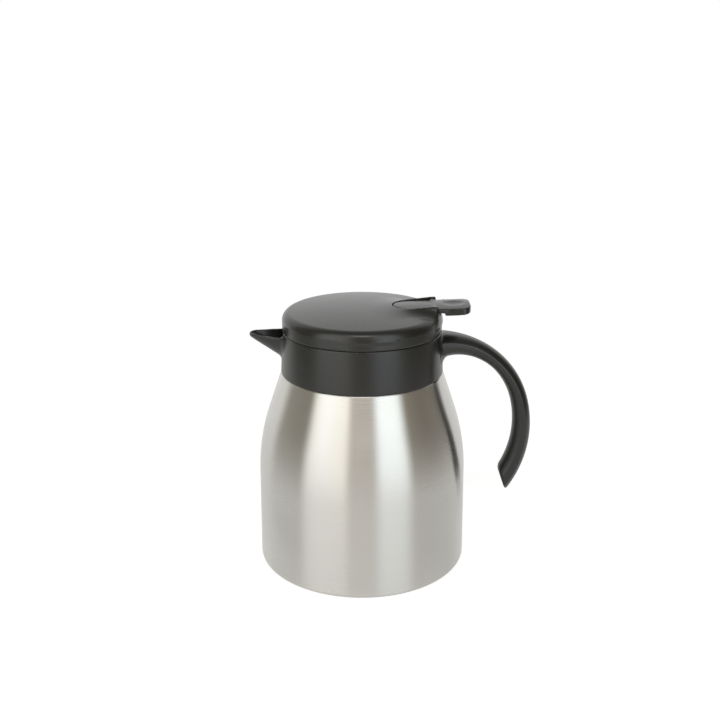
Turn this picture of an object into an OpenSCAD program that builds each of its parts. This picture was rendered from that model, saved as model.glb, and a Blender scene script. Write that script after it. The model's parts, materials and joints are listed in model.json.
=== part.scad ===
// Vacuum carafe with a screw-in pouring stopper and a thumb lever.
// Origin: on the body's axis, on the surface the carafe stands on. +Z up, spout -X, handle +X.

/* [Body] */
// Outer diameter of the steel body at its foot
body_base_d = 130; // [124:0.5:134]
// Outer diameter where the upright wall begins to curve in
body_waist_d = 128.8; // [122:0.2:130]
// Height at which the upright wall begins to curve in
curve_start_z = 58; // [50:1:62]
// Radius of the curve that leads into the tapered shoulder
curve_r = 128; // [115:1:140]
// Outer diameter of the steel body at its shoulder, where the collar stands
shoulder_d = 99.4; // [98:0.2:101]
// Height of the steel shoulder that the collar stands on
shoulder_z = 122.8; // [120:0.2:126]
// Thickness of the sheet steel
steel_t = 0.6; // [0.5:0.1:0.8]
// Vacuum gap between the two steel walls
vacuum_gap = 4.5; // [3.5:0.5:6]
// Radius of the rolled corner at the foot
foot_corner_r = 3; // [2.5:0.5:4]
// Width of the flat foot ring inside its rolled corner
foot_ring_w = 2; // [1.5:0.5:4]
// Height of the recess under the base plate
base_recess = 2.2; // [1.8:0.2:4]

/* [Mouth] */
// Bore of the steel mouth
mouth_d = 71.6; // [69:0.2:72]
// Outer diameter of the steel neck
neck_d = 82; // [80:0.5:84]
// Height of the steel neck above the shoulder
neck_h = 7.2; // [6.4:0.2:8]
// Height at which the inner vessel begins to draw in to its neck
inner_shoulder_z = 106; // [100:1:108]

/* [Collar and spout] */
// Height of the plastic collar
collar_h = 26.2; // [25:0.2:28]
// Wall thickness of the collar
collar_t = 2.2; // [1.8:0.1:2.6]
// Distance from the body's axis to the tip of the spout
spout_reach = 68.8; // [64:0.2:74]
// Drop from the collar's top edge to the rim of the spout where they meet
spout_drop = 3.3; // [2.6:0.1:4]
// Rise of the spout's rim from its root to its tip
spout_rise = 0.7; // [0:0.1:2]
// Radius of the spout's tip, seen from above
spout_tip_r = 7.3; // [6:0.1:8]
// Half width of the spout where it leaves the collar
spout_root_w = 12.6; // [11:0.2:14]
// Depth of the spout's keel below its rim at the root
spout_depth = 15.8; // [13:0.2:17]
// Wall thickness of the spout
spout_t = 1.5; // [1.2:0.1:2]

/* [Handle] */
// Radius of the upper bend of the handle's back
handle_bend_r = 57.2; // [55:0.1:58]
// Radius of the lower bend of the handle's back
handle_sweep_r = 73.7; // [71:0.1:77]
// Thickness of the handle at its thinnest, from its back to the finger side
handle_t = 9.5; // [9:0.1:11]
// Thickness of the handle at its root
handle_root_t = 17.5; // [15:0.5:18]
// Thickness of the handle at its end
handle_end_t = 13.2; // [12:0.2:14]
// Width of the grip
handle_w = 15.6; // [15:0.2:18]
// Width of the handle at its root
handle_root_w = 30; // [26:0.5:31]
// Angle below the horizontal at which the handle ends, in degrees
handle_end = 35; // [32:0.5:36]
// Slant of the handle's end: how much sooner its finger side ends, in degrees
end_slant = 9; // [5:0.5:10]
// Crown of the handle's back
handle_crown = 3.8; // [3:0.1:4]
// Thickness of the handle's separate back cover at its edge
cover_t = 1.2; // [1:0.1:1.4]
// Wall thickness of the moulded handle frame
handle_wall = 2.4; // [2:0.1:3]

/* [Lid] */
// Diameter of the lid
lid_d = 97; // [95:0.5:99]
// Height of the lid's side, from its lower edge to the top of its rounded edge
lid_h = 11.1; // [10.5:0.1:12]
// Rise of the domed top from its edge to the centre
dome_h = 2.7; // [2:0.1:3.2]
// Radius of the lid's rounded edge
lid_edge_r = 4.5; // [3.5:0.1:5]
// Wall thickness of the lid cover
lid_t = 2.2; // [1.8:0.1:2.4]
// Gap between the collar and the lid
lid_gap = 0.3; // [0.3:0.1:0.6]

/* [Stopper] */
// Outer diameter of the stopper's upper tube
stopper_d = 72; // [71:0.5:73]
// Wall thickness of the stopper's tubes
stopper_t = 2; // [1.8:0.1:2.2]
// Depth of the stopper's bottom below the collar's top edge
stopper_depth = 32; // [30:0.5:34]
// Rise of the screw thread in one full turn
thread_lead = 20; // [20:0.5:20.5]
// Number of starts of the thread
thread_starts = 4; // [4:1:4]
// Height of the pouring windows
window_h = 4.9; // [4.6:0.1:5.2]
// Number of pouring windows
window_n = 6; // [4:2:6]
// Part of the tube's circle that the windows take up
window_share = 0.72; // [0.6:0.02:0.8]

/* [Valve] */
// Diameter of the hole that the valve closes
valve_hole_d = 22; // [18:0.5:24]
// Diameter of the valve's stem
stem_d = 5; // [4:0.1:5.5]
// Diameter of the spring's wire
wire_d = 0.9; // [0.7:0.1:1.1]
// Mean diameter of the spring
spring_d = 13; // [11:0.5:15]
// Number of turns of the spring
spring_turns = 6; // [4:1:7]

/* [Lever] */
// Distance from the body's axis to the lever's pivot
pivot_x = 43; // [42:0.1:44]
// Diameter of the pivot pin
pin_d = 3; // [2.6:0.1:3.2]
// Width of the lever's thumb pad
pad_w = 24; // [23:0.2:25]
// Width of the lever between its ears
lever_w = 22; // [21:0.2:22.6]
// Distance from the body's axis to the lever's nose
nose_x = 18.6; // [17.6:0.1:20]
// Distance from the body's axis to the end of the thumb pad
pad_x = 65.2; // [63:0.1:67]
// Depth of the thumb pad's skirt
pad_h = 4.4; // [3.8:0.1:4.8]

/* [Fits] */
// Radial clearance of a turning or sliding fit
running_fit = 0.05; // [0.03:0.01:0.08]
// Gap between fixed pieces that are assembled beside each other
seat_gap = 0.1; // [0.05:0.01:0.15]
// Gap kept between pieces that move past each other
swing_gap = 0.5; // [0.4:0.05:0.6]

/* [Hidden] */
$fn = 96;

steel = [0.78, 0.77, 0.75];
bright = [0.86, 0.86, 0.85];
charcoal = [0.27, 0.27, 0.26];
moulded = [0.2, 0.2, 0.2];
silicone = [0.86, 0.85, 0.8];

// How far a cutting shape goes past the faces it cuts
cut = 1;
// How far two shapes of one piece reach into each other
weld = 0.1;

// Heights and radii that follow from the sizes above
collar_top = shoulder_z + collar_h;
lip_z = shoulder_z + neck_h;
lid_z0 = collar_top + lid_gap;
lid_edge_z = lid_z0 + lid_h;
lid_top_z = lid_edge_z + dome_h;
mouth_r = mouth_d / 2;
neck_r = neck_d / 2;
lid_r = lid_d / 2;
collar_in_r = lid_r - collar_t;
flange_t = 2;
flange_drop = 3;
flange_z = collar_top - flange_drop;
gasket_t = 0.8;
ledge_t = 0.7;
window_z = flange_z - gasket_t - ledge_t - window_h;

// Body outline

base_r = body_base_d / 2;
waist_r = body_waist_d / 2;
shoulder_r = shoulder_d / 2;
curve_x = waist_r - curve_r;
shoulder_rise = shoulder_z - curve_start_z;
shoulder_from_curve = norm([shoulder_r - curve_x, shoulder_rise]);
// Slope of the taper from the vertical: the line leaves the curve smoothly and meets the shoulder
taper_angle = atan2(shoulder_rise, shoulder_r - curve_x) - acos(min(1, curve_r / shoulder_from_curve));
curve_end_z = curve_start_z + curve_r * sin(taper_angle);
curve_end_r = curve_x + curve_r * cos(taper_angle);

// Outer radius of the steel body at a height
function body_r(z) =
    z < curve_start_z ? base_r + (waist_r - base_r) * z / curve_start_z
    : z < curve_end_z ? curve_x + sqrt(curve_r * curve_r - pow(z - curve_start_z, 2))
    : curve_end_r - (z - curve_end_z) * tan(taper_angle);

outline_steps = 36;
corner_steps = 6;

// The wall's outline moved inwards by an inset, from one height to another
function wall_line(inset, z0, z1) =
    [for (i = [0:outline_steps]) let (z = z0 + (z1 - z0) * i / outline_steps) [body_r(z) - inset, z]];

// A rounded bottom corner from the floor up to the wall
function corner_line(r_wall, z_floor, r) =
    [for (i = [0:corner_steps - 1]) let (a = -90 + 90 * i / corner_steps)
        [r_wall - r + r * cos(a), z_floor + r + r * sin(a)]];

function backwards(list) = [for (i = [len(list) - 1:-1:0]) list[i]];

foot_in_r = base_r - foot_corner_r - foot_ring_w;
bead_h = 0.8;
bead_rise = 3;
bead_z = shoulder_z + bead_rise;

module outer_shell() {
    outside = concat([[foot_in_r, 0]], corner_line(body_r(foot_corner_r), 0, foot_corner_r),
        wall_line(0, foot_corner_r, shoulder_z),
        [[neck_r, shoulder_z], [neck_r, bead_z], [neck_r + bead_h, bead_z + bead_h],
         [neck_r, bead_z + 2 * bead_h], [neck_r, lip_z - steel_t]]);
    inside = concat([[foot_in_r, steel_t]],
        corner_line(body_r(foot_corner_r) - steel_t, steel_t, foot_corner_r - steel_t),
        wall_line(steel_t, foot_corner_r, shoulder_z - steel_t),
        [[neck_r - steel_t, shoulder_z - steel_t], [neck_r - steel_t, lip_z - steel_t]]);
    color(steel) rotate_extrude() polygon(concat(outside, backwards(inside)));
}

// Inner vessel

vessel_inset = steel_t + vacuum_gap;
vessel_floor_z = base_recess + steel_t + vacuum_gap;
vessel_corner_r = 9;
vessel_neck_h = 10.5;
vessel_neck_z = lip_z - vessel_neck_h;

module inner_vessel() {
    wall_z = vessel_floor_z + vessel_corner_r;
    outside = concat([[0, vessel_floor_z]],
        corner_line(body_r(wall_z) - vessel_inset, vessel_floor_z, vessel_corner_r),
        wall_line(vessel_inset, wall_z, inner_shoulder_z),
        [[mouth_r + steel_t, vessel_neck_z], [mouth_r + steel_t, lip_z - steel_t],
         [neck_r, lip_z - steel_t], [neck_r, lip_z], [mouth_r, lip_z]]);
    inset = vessel_inset + steel_t;
    floor_z = vessel_floor_z + steel_t;
    inside = concat([[0, floor_z]],
        corner_line(body_r(wall_z) - inset, floor_z, vessel_corner_r - steel_t),
        wall_line(inset, wall_z, inner_shoulder_z - steel_t / 2),
        [[mouth_r, vessel_neck_z - steel_t / 2]]);
    color(bright) rotate_extrude() polygon(concat(outside, backwards(inside)));
}

// Base

base_plate_r = foot_in_r + foot_ring_w - seat_gap;
vacuum_cap_d = 18;
getter_d = 16;
getter_t = 2;
getter_x = 28;

module base_plate() {
    color(steel) rotate_extrude() polygon([
        [0, base_recess], [foot_in_r, base_recess], [foot_in_r, steel_t],
        [base_plate_r, steel_t], [base_plate_r, base_recess + steel_t], [0, base_recess + steel_t]]);
}

module vacuum_cap() {
    cap_t = base_recess / 2;
    color(bright) translate([0, 0, base_recess - cap_t]) cylinder(d = vacuum_cap_d, h = cap_t);
}

module getter() {
    color("gray") translate([getter_x, 0, base_recess + steel_t]) cylinder(d = getter_d, h = getter_t);
}

// Collar with its spout

collar_flange_t = 2.4;
rim_z = collar_top - spout_drop;
// The spout's root lies this far inside the collar's outside, and its keel a little deeper
root_inset = 5;
keel_inset = 2;
keel_r = 4;
lip_t = 1.4;
// Radius of the rim's corners at the root, and how far they stand in from the root's half width
lip_corner_r = 1.6;
lip_corner_in = 0.4;
seal_t = 1.2;
seal_lip = 1.2;
ring_z0 = lip_z + seal_t;
ring_flange_t = 2.8;
ring_floor_z = ring_z0 + ring_flange_t;

// The spout's body: a lip plate drawn down to a rounded keel at the collar, inset by g
module spout_form(g, above) {
    root_x = -(lid_r - root_inset);
    keel_z = rim_z - spout_depth + keel_r;
    hull($fn = 32) {
        translate([-(spout_reach - spout_tip_r), 0, rim_z + spout_rise - lip_t])
            cylinder(r = spout_tip_r - g, h = lip_t + above);
        for (s = [-1, 1])
            translate([root_x, s * (spout_root_w - lip_corner_in), rim_z - lip_t])
                cylinder(r = lip_corner_r - g, h = lip_t + above);
        translate([root_x - keel_inset, 0, keel_z]) sphere(r = keel_r - g);
    }
}

screw_rise = 14.2;
screw_z = shoulder_z + screw_rise;
screw_y = 5.6;
screw_d = 3;
screw_head_d = 5.4;
screw_head_t = 1.2;
screw_len = 9;
screw_sunk = 0.3;
screw_head_x = collar_in_r + screw_sunk;

module collar() {
    color(charcoal) difference() {
        union() {
            difference() {
                union() {
                    rotate_extrude() polygon([[collar_in_r, shoulder_z], [shoulder_r, shoulder_z],
                        [lid_r, collar_top], [collar_in_r, collar_top]]);
                    difference() {
                        spout_form(0, 0);
                        translate([0, 0, shoulder_z]) cylinder(r = collar_in_r + 2 * weld, h = collar_h);
                    }
                }
                spout_form(spout_t, 2 * collar_h);
            }
            translate([0, 0, shoulder_z]) difference() {
                cylinder(r = collar_in_r + weld, h = collar_flange_t);
                translate([0, 0, -cut]) cylinder(r = neck_r + seat_gap, h = collar_flange_t + 2 * cut);
            }
        }
        for (s = [-1, 1]) translate([0, s * screw_y, screw_z]) rotate([0, 90, 0]) {
            cylinder(d = screw_d + 2 * seat_gap, h = 2 * lid_r);
            cylinder(d = screw_head_d + 2 * seat_gap, h = screw_head_x + seat_gap);
        }
    }
}

module collar_seal() {
    color(silicone) translate([0, 0, lip_z]) difference() {
        cylinder(r = neck_r, h = seal_t);
        translate([0, 0, -cut]) cylinder(r = mouth_r + seal_lip, h = seal_t + 2 * cut);
    }
}

// Screw thread

thread_h = 1.7;
crest_share = 0.5;
thread_root = 0.6;
thread_rise = 2.2;
thread_steps = 14;
thread_span = 75;
stopper_r = stopper_d / 2;
male_crest = 1.7;
ring_bore_r = stopper_r + male_crest + swing_gap;
female_crest = 1.5;
thread_z = ring_z0 + thread_rise;

// One helical ridge from radius r0 out to r1, as a tube of four-sided rings
module ridge(r0, r1, z, start) {
    crest = thread_h * crest_share;
    points = [for (i = [0:thread_steps]) let (
            a = start + thread_span * i / thread_steps,
            zc = z + thread_lead * thread_span / 360 * i / thread_steps)
        each [[r0 * cos(a), r0 * sin(a), zc - thread_h / 2], [r1 * cos(a), r1 * sin(a), zc - crest / 2],
              [r1 * cos(a), r1 * sin(a), zc + crest / 2], [r0 * cos(a), r0 * sin(a), zc + thread_h / 2]]];
    outward = r1 > r0;
    sides = [for (i = [0:thread_steps - 1], k = [0:3]) let (
            p = 4 * i + k, q = 4 * i + (k + 1) % 4)
        each [[p, q, q + 4], [p, q + 4, p + 4]]];
    ends = [[3, 2, 1, 0], [for (k = [0:3]) 4 * thread_steps + k]];
    faces = concat(sides, ends);
    polyhedron(points, outward ? faces : [for (f = faces) backwards(f)]);
}

module ridges(r0, r1, z, turn) {
    for (n = [0:thread_starts - 1]) ridge(r0, r1, z, turn + n * 360 / thread_starts);
}

ring_sleeve_t = 2;
ring_drop = 0.2;
ring_top_z = window_z - ring_drop;
// The ring's notch under the spout leaves this much of the spout's width at each side
notch_side = 2;

module thread_ring() {
    flange_r = collar_in_r - seat_gap;
    color(moulded) difference() {
        union() {
            rotate_extrude() polygon([
                [ring_bore_r, ring_z0], [flange_r, ring_z0], [flange_r, ring_floor_z],
                [ring_bore_r + ring_sleeve_t, ring_floor_z], [ring_bore_r + ring_sleeve_t, ring_top_z],
                [ring_bore_r, ring_top_z]]);
            ridges(ring_bore_r + thread_root, ring_bore_r - female_crest, thread_z, 0);
        }
        translate([-lid_r, -(spout_root_w - notch_side), ring_floor_z])
            cube([lid_r - stopper_r / 2, 2 * (spout_root_w - notch_side), collar_h]);
    }
}

// Handle

// Centre of the upper bend of the handle's back; the lower bend joins it smoothly at an angle
bend_x = 47.5;
bend_drop = 33.4;
bend_z = shoulder_z - bend_drop;
bend_split = 15;
sweep_x = bend_x - (handle_sweep_r - handle_bend_r) * cos(bend_split);
sweep_z = bend_z - (handle_sweep_r - handle_bend_r) * sin(bend_split);
root_steps = 5;
arm_steps = 22;
root_angle = 95;
flare_angle = 60;
thin_angle = 45;
arm_angle = 77;
// How fast the handle thickens towards its end, below its thinnest place
swell = 1.3;

// Point on the handle's back at an angle, and the direction square to it
function back_point(a) = a > bend_split
    ? [bend_x + handle_bend_r * cos(a), bend_z + handle_bend_r * sin(a)]
    : [sweep_x + handle_sweep_r * cos(a), sweep_z + handle_sweep_r * sin(a)];

// Share of the way from an angle of the handle up to its root, squared; none below that angle
function rootward(a, from) = pow(max(0, a - from) / (root_angle - from), 2);
// Share of the way from the thinnest place down to the handle's end
function endward(a) = pow(max(0, thin_angle - a) / (thin_angle + handle_end), swell);
function half_w(a) = (handle_w + (handle_root_w - handle_w) * rootward(a, flare_angle)) / 2;
function grip_t(a) = handle_t + (handle_root_t - handle_t) * rootward(a, thin_angle)
    + (handle_end_t - handle_t) * endward(a);

handle_angles = concat(
    [for (i = [0:root_steps - 1]) root_angle - (root_angle - arm_angle) * i / root_steps],
    [for (i = [0:arm_steps]) arm_angle - (arm_angle + handle_end) * i / arm_steps]);

// Share of the end's slant at an angle: none along the upper bend, one at the end
function slant(a) = a > 0 ? 0 : end_slant * pow(a / handle_end, 2);

// One ring: section points [across, depth below the back] placed at an angle of the handle
function ring_points(a, section) = [for (s = section) let (
        q = a + slant(a) * s[1] / handle_end_t, p = back_point(q))
    [p[0] - s[1] * cos(q), s[0], p[1] - s[1] * sin(q)]];

// Loft of a section along the handle; the section is a function of the ring's number
module loft(rings) {
    n = len(rings[0]);
    m = len(rings);
    sides = [for (i = [0:m - 2], k = [0:n - 1]) let (p = n * i + k, q = n * i + (k + 1) % n)
        each [[p, q + n, q], [p, p + n, q + n]]];
    polyhedron([for (r = rings) each r],
        concat(sides, [[for (k = [0:n - 1]) k], [for (k = [n - 1:-1:0]) n * (m - 1) + k]]), convexity = 6);
}

belly_steps = 12;
crown_steps = 6;
side_share = 0.5;
side_min = 0.2;
cover_seam = handle_crown + cover_t;

// A trough section: open at the depth top, with upright sides and a rounded finger side
function trough_section(w, t, top) = let (side = max(t * side_share, top + side_min)) concat([[-w, top]],
    [for (i = [0:belly_steps]) let (b = 180 - 180 * i / belly_steps)
        [w * cos(b), side + (t - side) * sin(b)]],
    [[w, top]]);

// The cover's section: a crowned back over a flat underside
function cover_section(w) = concat([[-w, cover_seam - seat_gap], [w, cover_seam - seat_gap]],
    [for (i = [0:crown_steps]) let (s = 1 - 2 * i / crown_steps) [s * w, handle_crown * s * s]]);

// The collar's round outside, that the handle's root is hollowed to fit
module root_side() {
    rotate_extrude() polygon([[0, shoulder_z], [shoulder_r + seat_gap, shoulder_z],
        [lid_r + seat_gap, collar_top], [0, collar_top]]);
}

// Angle of the solid end of the handle
end_wall = 3;

module handle_frame() {
    hollow_angles = [for (a = handle_angles) if (a <= arm_angle && a > end_wall - handle_end) a];
    color(charcoal) difference() {
        loft([for (a = handle_angles) ring_points(a, trough_section(half_w(a), grip_t(a), cover_seam))]);
        loft([for (a = hollow_angles) ring_points(a,
            trough_section(half_w(a) - handle_wall, grip_t(a) - handle_wall, handle_crown))]);
        root_side();
        for (s = [-1, 1]) translate([0, s * screw_y, screw_z]) rotate([0, 90, 0])
            cylinder(d = screw_d, h = screw_head_x + screw_len);
    }
}

module handle_cover() {
    color(charcoal) difference() {
        loft([for (a = handle_angles) ring_points(a, cover_section(half_w(a)))]);
        root_side();
    }
}

module handle_screws() {
    color(bright) for (s = [-1, 1]) translate([0, s * screw_y, screw_z]) rotate([0, 90, 0]) {
        translate([0, 0, screw_head_x - screw_head_t]) cylinder(d = screw_head_d, h = screw_head_t);
        translate([0, 0, screw_head_x - screw_head_t / 2]) cylinder(d = screw_d, h = screw_len);
    }
}

// Lid cover

edge_r_in = lid_r - lid_edge_r;
dome_r = (edge_r_in * edge_r_in + dome_h * dome_h) / (2 * dome_h);
dome_c = lid_top_z - dome_r;
edge_c = dome_c + sqrt(pow(dome_r - lid_edge_r, 2) - edge_r_in * edge_r_in);
edge_angle = asin(edge_r_in / (dome_r - lid_edge_r));
dome_steps = 10;
edge_steps = 8;

// Height of the domed top at a distance from the axis
function dome_z(r) = dome_c + sqrt(dome_r * dome_r - r * r);

// The lid's outline from the middle of the dome down its side, moved inwards by an inset
function lid_line(inset) = concat(
    [for (i = [0:dome_steps - 1]) let (q = edge_angle * i / dome_steps)
        [(dome_r - inset) * sin(q), dome_c + (dome_r - inset) * cos(q)]],
    [for (i = [0:edge_steps]) let (q = edge_angle + (90 - edge_angle) * i / edge_steps)
        [edge_r_in + (lid_edge_r - inset) * sin(q), edge_c + (lid_edge_r - inset) * cos(q)]],
    [[lid_r - inset, lid_z0]]);

nose_len = 14;
nose_in = 0.6;
nose_w = lever_w / 2 - nose_in;
neck_reach = 1.1;
neck_x = lid_r + neck_reach;
press_angle = 8.5;
// Heights above the lid's edge: the pivot, the pad's top at its sides, the lever's underside at its neck
pivot_rise = 1.8;
pad_rise = 4;
neck_rise = 1;
pivot_z = lid_edge_z + pivot_rise;
pad_z = lid_edge_z + pad_rise;
neck_z = lid_edge_z + neck_rise;
notch_z = neck_z - (neck_x - pivot_x) * sin(press_angle) - swing_gap;

// Half width of the lever at a distance from the axis, seen from above
function lever_half(x) = let (nose_end = nose_x + nose_len)
    x < nose_end ? nose_w * sqrt(max(0, 1 - pow((nose_end - x) / nose_len, 2)))
    : x < pivot_x ? nose_w + (lever_w / 2 - nose_w) * (x - nose_end) / (pivot_x - nose_end)
    : x < neck_x ? lever_w / 2 + (pad_w - lever_w) / 2 * (x - pivot_x) / (neck_x - pivot_x)
    : pad_w / 2;

plan_steps = 10;
nose_angles = [for (i = [0:plan_steps]) 90 * i / plan_steps];
nose_edge = [for (q = nose_angles) nose_x + nose_len * (1 - cos(q))];

// Outline of the slot that the lever works in, as long as the lid is wide
function slot_edge(g) = concat(
    [for (i = [0:plan_steps]) let (k = i / plan_steps)
        [nose_edge[i] - g * (1 - k), lever_half(nose_edge[i]) + g * k]],
    [[pivot_x, lever_w / 2 + g], [neck_x, pad_w / 2 + g], [lid_d, pad_w / 2 + g]]);

function mirrored(edge) = concat(edge, [for (p = backwards(edge)) [p[0], -p[1]]]);

ear_rise = 5.4;
ear_side = 1.2;
ear_w = pad_w / 2 + ear_side;
saddle_foot = 17.4;
slice_t = 0.1;

// Distance from the axis at a share of the way from the lever's nose to its pivot
function along(share) = nose_x + share * (pivot_x - nose_x);

// One upright slice of the saddle. Its foot, its top and its height above the lid's edge
// are shares of the saddle's foot, the ears' half width and the ears' height.
module saddle_slice(x, foot, top, rise) {
    y0 = foot * saddle_foot;
    y1 = top * ear_w;
    z0 = lid_edge_z - lid_t - cut;
    z1 = lid_edge_z + rise * ear_rise;
    translate([x, 0, 0]) rotate([90, 0, 90]) linear_extrude(slice_t)
        polygon([[-y0, z0], [y0, z0], [y1, z1], [-y1, z1]]);
}

module saddle() {
    hull() {
        saddle_slice(along(-0.25), 0.03, 0.02, 0.48);
        saddle_slice(along(0.37), 0.72, 0.8, 0.67);
        saddle_slice(along(0.71), 0.9, 0.94, 0.89);
        saddle_slice(along(1.025), 1, 1, 1);
        saddle_slice(along(1.105), 0.97, 0.97, 1);
        saddle_slice(along(1.16), 0.94, 0.92, 0.6);
        saddle_slice(lid_r - ear_side / 2, 0.8, 0.85, -0.48);
    }
}

boss_at = [60, 150, 210, 300];
boss_inset = 7.5;
boss_x = lid_r - boss_inset;
boss_d = 6.8;
boss_root = 0.8;
lid_screw_d = 3;
lid_screw_len = 9;
lid_head_d = 5.6;
lid_head_t = 1.5;
blind_end = 1;
boss_z = flange_z + flange_t + seat_gap;
// The pin reaches this far into each ear, and the knuckle is this thick round it
ear_grip = 1.2;
knuckle_t = 1.2;
pin_len = pad_w + 2 * ear_grip;
knuckle_d = pin_d + 2 * knuckle_t;

module lid_cover() {
    color(charcoal) difference() {
        union() {
            rotate_extrude() polygon(concat(lid_line(0), backwards(lid_line(lid_t))));
            difference() {
                saddle();
                rotate_extrude() polygon(concat([[0, lid_z0]], lid_line(lid_t)));
            }
            for (a = boss_at) rotate([0, 0, a]) translate([boss_x, 0, boss_z])
                cylinder(d = boss_d, h = lid_edge_z - lid_t + boss_root - boss_z);
        }
        translate([0, 0, lid_z0 - cut]) linear_extrude(notch_z - lid_z0 + cut)
            intersection() {
                polygon(mirrored(slot_edge(swing_gap)));
                translate([0, -lid_r]) square([pivot_x + cut, lid_d]);
            }
        translate([0, 0, notch_z]) linear_extrude(lid_h) polygon(mirrored(slot_edge(swing_gap)));
        translate([pivot_x, pin_len / 2, pivot_z]) rotate([90, 0, 0])
            cylinder(d = pin_d + 2 * running_fit, h = pin_len);
        translate([pivot_x, lever_w / 2 + swing_gap, pivot_z]) rotate([90, 0, 0])
            cylinder(d = knuckle_d + 2 * swing_gap, h = lever_w + 2 * swing_gap);
        for (a = boss_at) rotate([0, 0, a]) translate([boss_x, 0, boss_z - cut])
            cylinder(d = lid_screw_d, h = lid_screw_len - flange_t - blind_end + cut);
    }
}

module lid_screws() {
    color(bright) for (a = boss_at) rotate([0, 0, a]) translate([boss_x, 0, flange_z]) {
        translate([0, 0, -lid_head_t]) cylinder(d = lid_head_d, h = lid_head_t);
        cylinder(d = lid_screw_d, h = lid_screw_len - blind_end);
    }
}

// Stopper

stopper_z = collar_top - stopper_depth;
stopper_in_r = stopper_r - stopper_t;
neck_clear = 2.3;
low_r = mouth_r - neck_clear;
low_in_r = low_r - stopper_t;
step_clear = 0.6;
step_z = lip_z + step_clear;
groove_rise = 5;
groove_z = stopper_z + groove_rise;
groove_h = 5;
groove_rim = 1.2;
rim_clear = 1;
groove_rim_r = mouth_r - rim_clear;
seat_wall = 2.6;
seat_hole_r = valve_hole_d / 2 + seat_wall;
ledge_w = 1.8;
window_half = window_share * 180 / window_n;

module stopper_body() {
    flange_r = collar_in_r - lid_gap;
    ledge_r = stopper_in_r - ledge_w;
    ledge_top = flange_z - gasket_t;
    color(moulded) difference() {
        union() {
            rotate_extrude() polygon([
                [seat_hole_r, stopper_z], [low_r, stopper_z],
                [low_r, groove_z - groove_rim], [groove_rim_r, groove_z - groove_rim],
                [groove_rim_r, groove_z], [low_r, groove_z], [low_r, groove_z + groove_h],
                [groove_rim_r, groove_z + groove_h], [groove_rim_r, groove_z + groove_h + groove_rim],
                [low_r, groove_z + groove_h + groove_rim], [low_r, step_z], [stopper_r, step_z],
                [stopper_r, flange_z], [flange_r, flange_z], [flange_r, flange_z + flange_t],
                [stopper_in_r, flange_z + flange_t],
                [stopper_in_r, ledge_top], [ledge_r, ledge_top],
                [ledge_r, ledge_top - ledge_t], [stopper_in_r, ledge_top - ledge_t],
                [stopper_in_r, step_z + stopper_t], [low_in_r, step_z + stopper_t],
                [low_in_r, stopper_z + stopper_t], [seat_hole_r, stopper_z + stopper_t]]);
            ridges(stopper_r - thread_root, stopper_r + male_crest, thread_z, 180 / thread_starts);
        }
        for (n = [0:window_n - 1]) rotate([0, 0, 180 + n * 360 / window_n])
            translate([0, 0, window_z]) linear_extrude(window_h) polygon([[0, 0],
                lid_r * [cos(window_half), -sin(window_half)], [lid_r / cos(window_half), 0],
                lid_r * [cos(window_half), sin(window_half)]]);
        for (a = boss_at) rotate([0, 0, a]) translate([boss_x, 0, flange_z - cut])
            cylinder(d = lid_screw_d + 2 * seat_gap, h = flange_t + 2 * cut);
    }
}

gasket_web = 0.9;

// A ring with two lips that press on the steel mouth, given as shares of its height
module neck_gasket() {
    r0 = low_r + seat_gap;
    r1 = mouth_r - seat_gap;
    z0 = groove_z + seat_gap;
    h = groove_h - 2 * seat_gap;
    web = r0 + gasket_web;
    color(silicone) rotate_extrude() polygon([
        [r0, z0], [web, z0], [r1, z0 + 0.2 * h], [r1, z0 + 0.28 * h],
        [web, z0 + 0.42 * h], [web, z0 + 0.52 * h], [r1, z0 + 0.7 * h], [r1, z0 + 0.78 * h],
        [web, z0 + 0.94 * h], [web, z0 + h], [r0, z0 + h]]);
}

bush_r = 5;
bush_h = 5;
stem_bore_r = stem_d / 2 + running_fit;

module stopper_deck() {
    color(moulded) rotate_extrude() polygon([[stem_bore_r, flange_z + flange_t - bush_h],
        [bush_r, flange_z + flange_t - bush_h], [bush_r, flange_z],
        [stopper_in_r - seat_gap, flange_z], [stopper_in_r - seat_gap, flange_z + flange_t],
        [stem_bore_r, flange_z + flange_t]]);
}

module deck_gasket() {
    color(silicone) translate([0, 0, flange_z - gasket_t]) difference() {
        cylinder(r = stopper_in_r - seat_gap, h = gasket_t);
        translate([0, 0, -cut]) cylinder(r = stopper_in_r - ledge_w + seat_gap, h = gasket_t + 2 * cut);
    }
}

stem_seal_t = 1;

module stem_seal() {
    color(silicone) translate([0, 0, flange_z + flange_t - bush_h - stem_seal_t]) difference() {
        cylinder(r = bush_r, h = stem_seal_t);
        translate([0, 0, -cut]) cylinder(r = stem_bore_r, h = stem_seal_t + 2 * cut);
    }
}

seat_flange_t = 1.2;
seat_flange_w = 2;
seat_z = stopper_z + stopper_t + seat_flange_t;

module valve_seat() {
    hole_r = valve_hole_d / 2;
    color(moulded) rotate_extrude() polygon([[hole_r, stopper_z], [seat_hole_r - seat_gap, stopper_z],
        [seat_hole_r - seat_gap, stopper_z + stopper_t],
        [seat_hole_r + seat_flange_w, stopper_z + stopper_t],
        [seat_hole_r + seat_flange_w, seat_z], [hole_r, seat_z]]);
}

// Valve

valve_seal_t = 2;
disc_t = 2;
seat_lap = 2.4;
disc_r = valve_hole_d / 2 + seat_lap;
seal_z = seat_z + seat_gap;
disc_z = seal_z + valve_seal_t;
disc_top_z = disc_z + disc_t;
foot_r = 4;
foot_t = 1.4;
hub_h = 2.5;
seal_in = 0.6;
fork_r = 1.4;
fork_gap = 0.4;
fork_z = flange_z + flange_t + fork_r + fork_gap;
head_gap = 0.2;
head_z = fork_z + fork_r + head_gap;
head_t = 1.8;
head_r = 5.5;
head_cap_t = 0.9;

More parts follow.
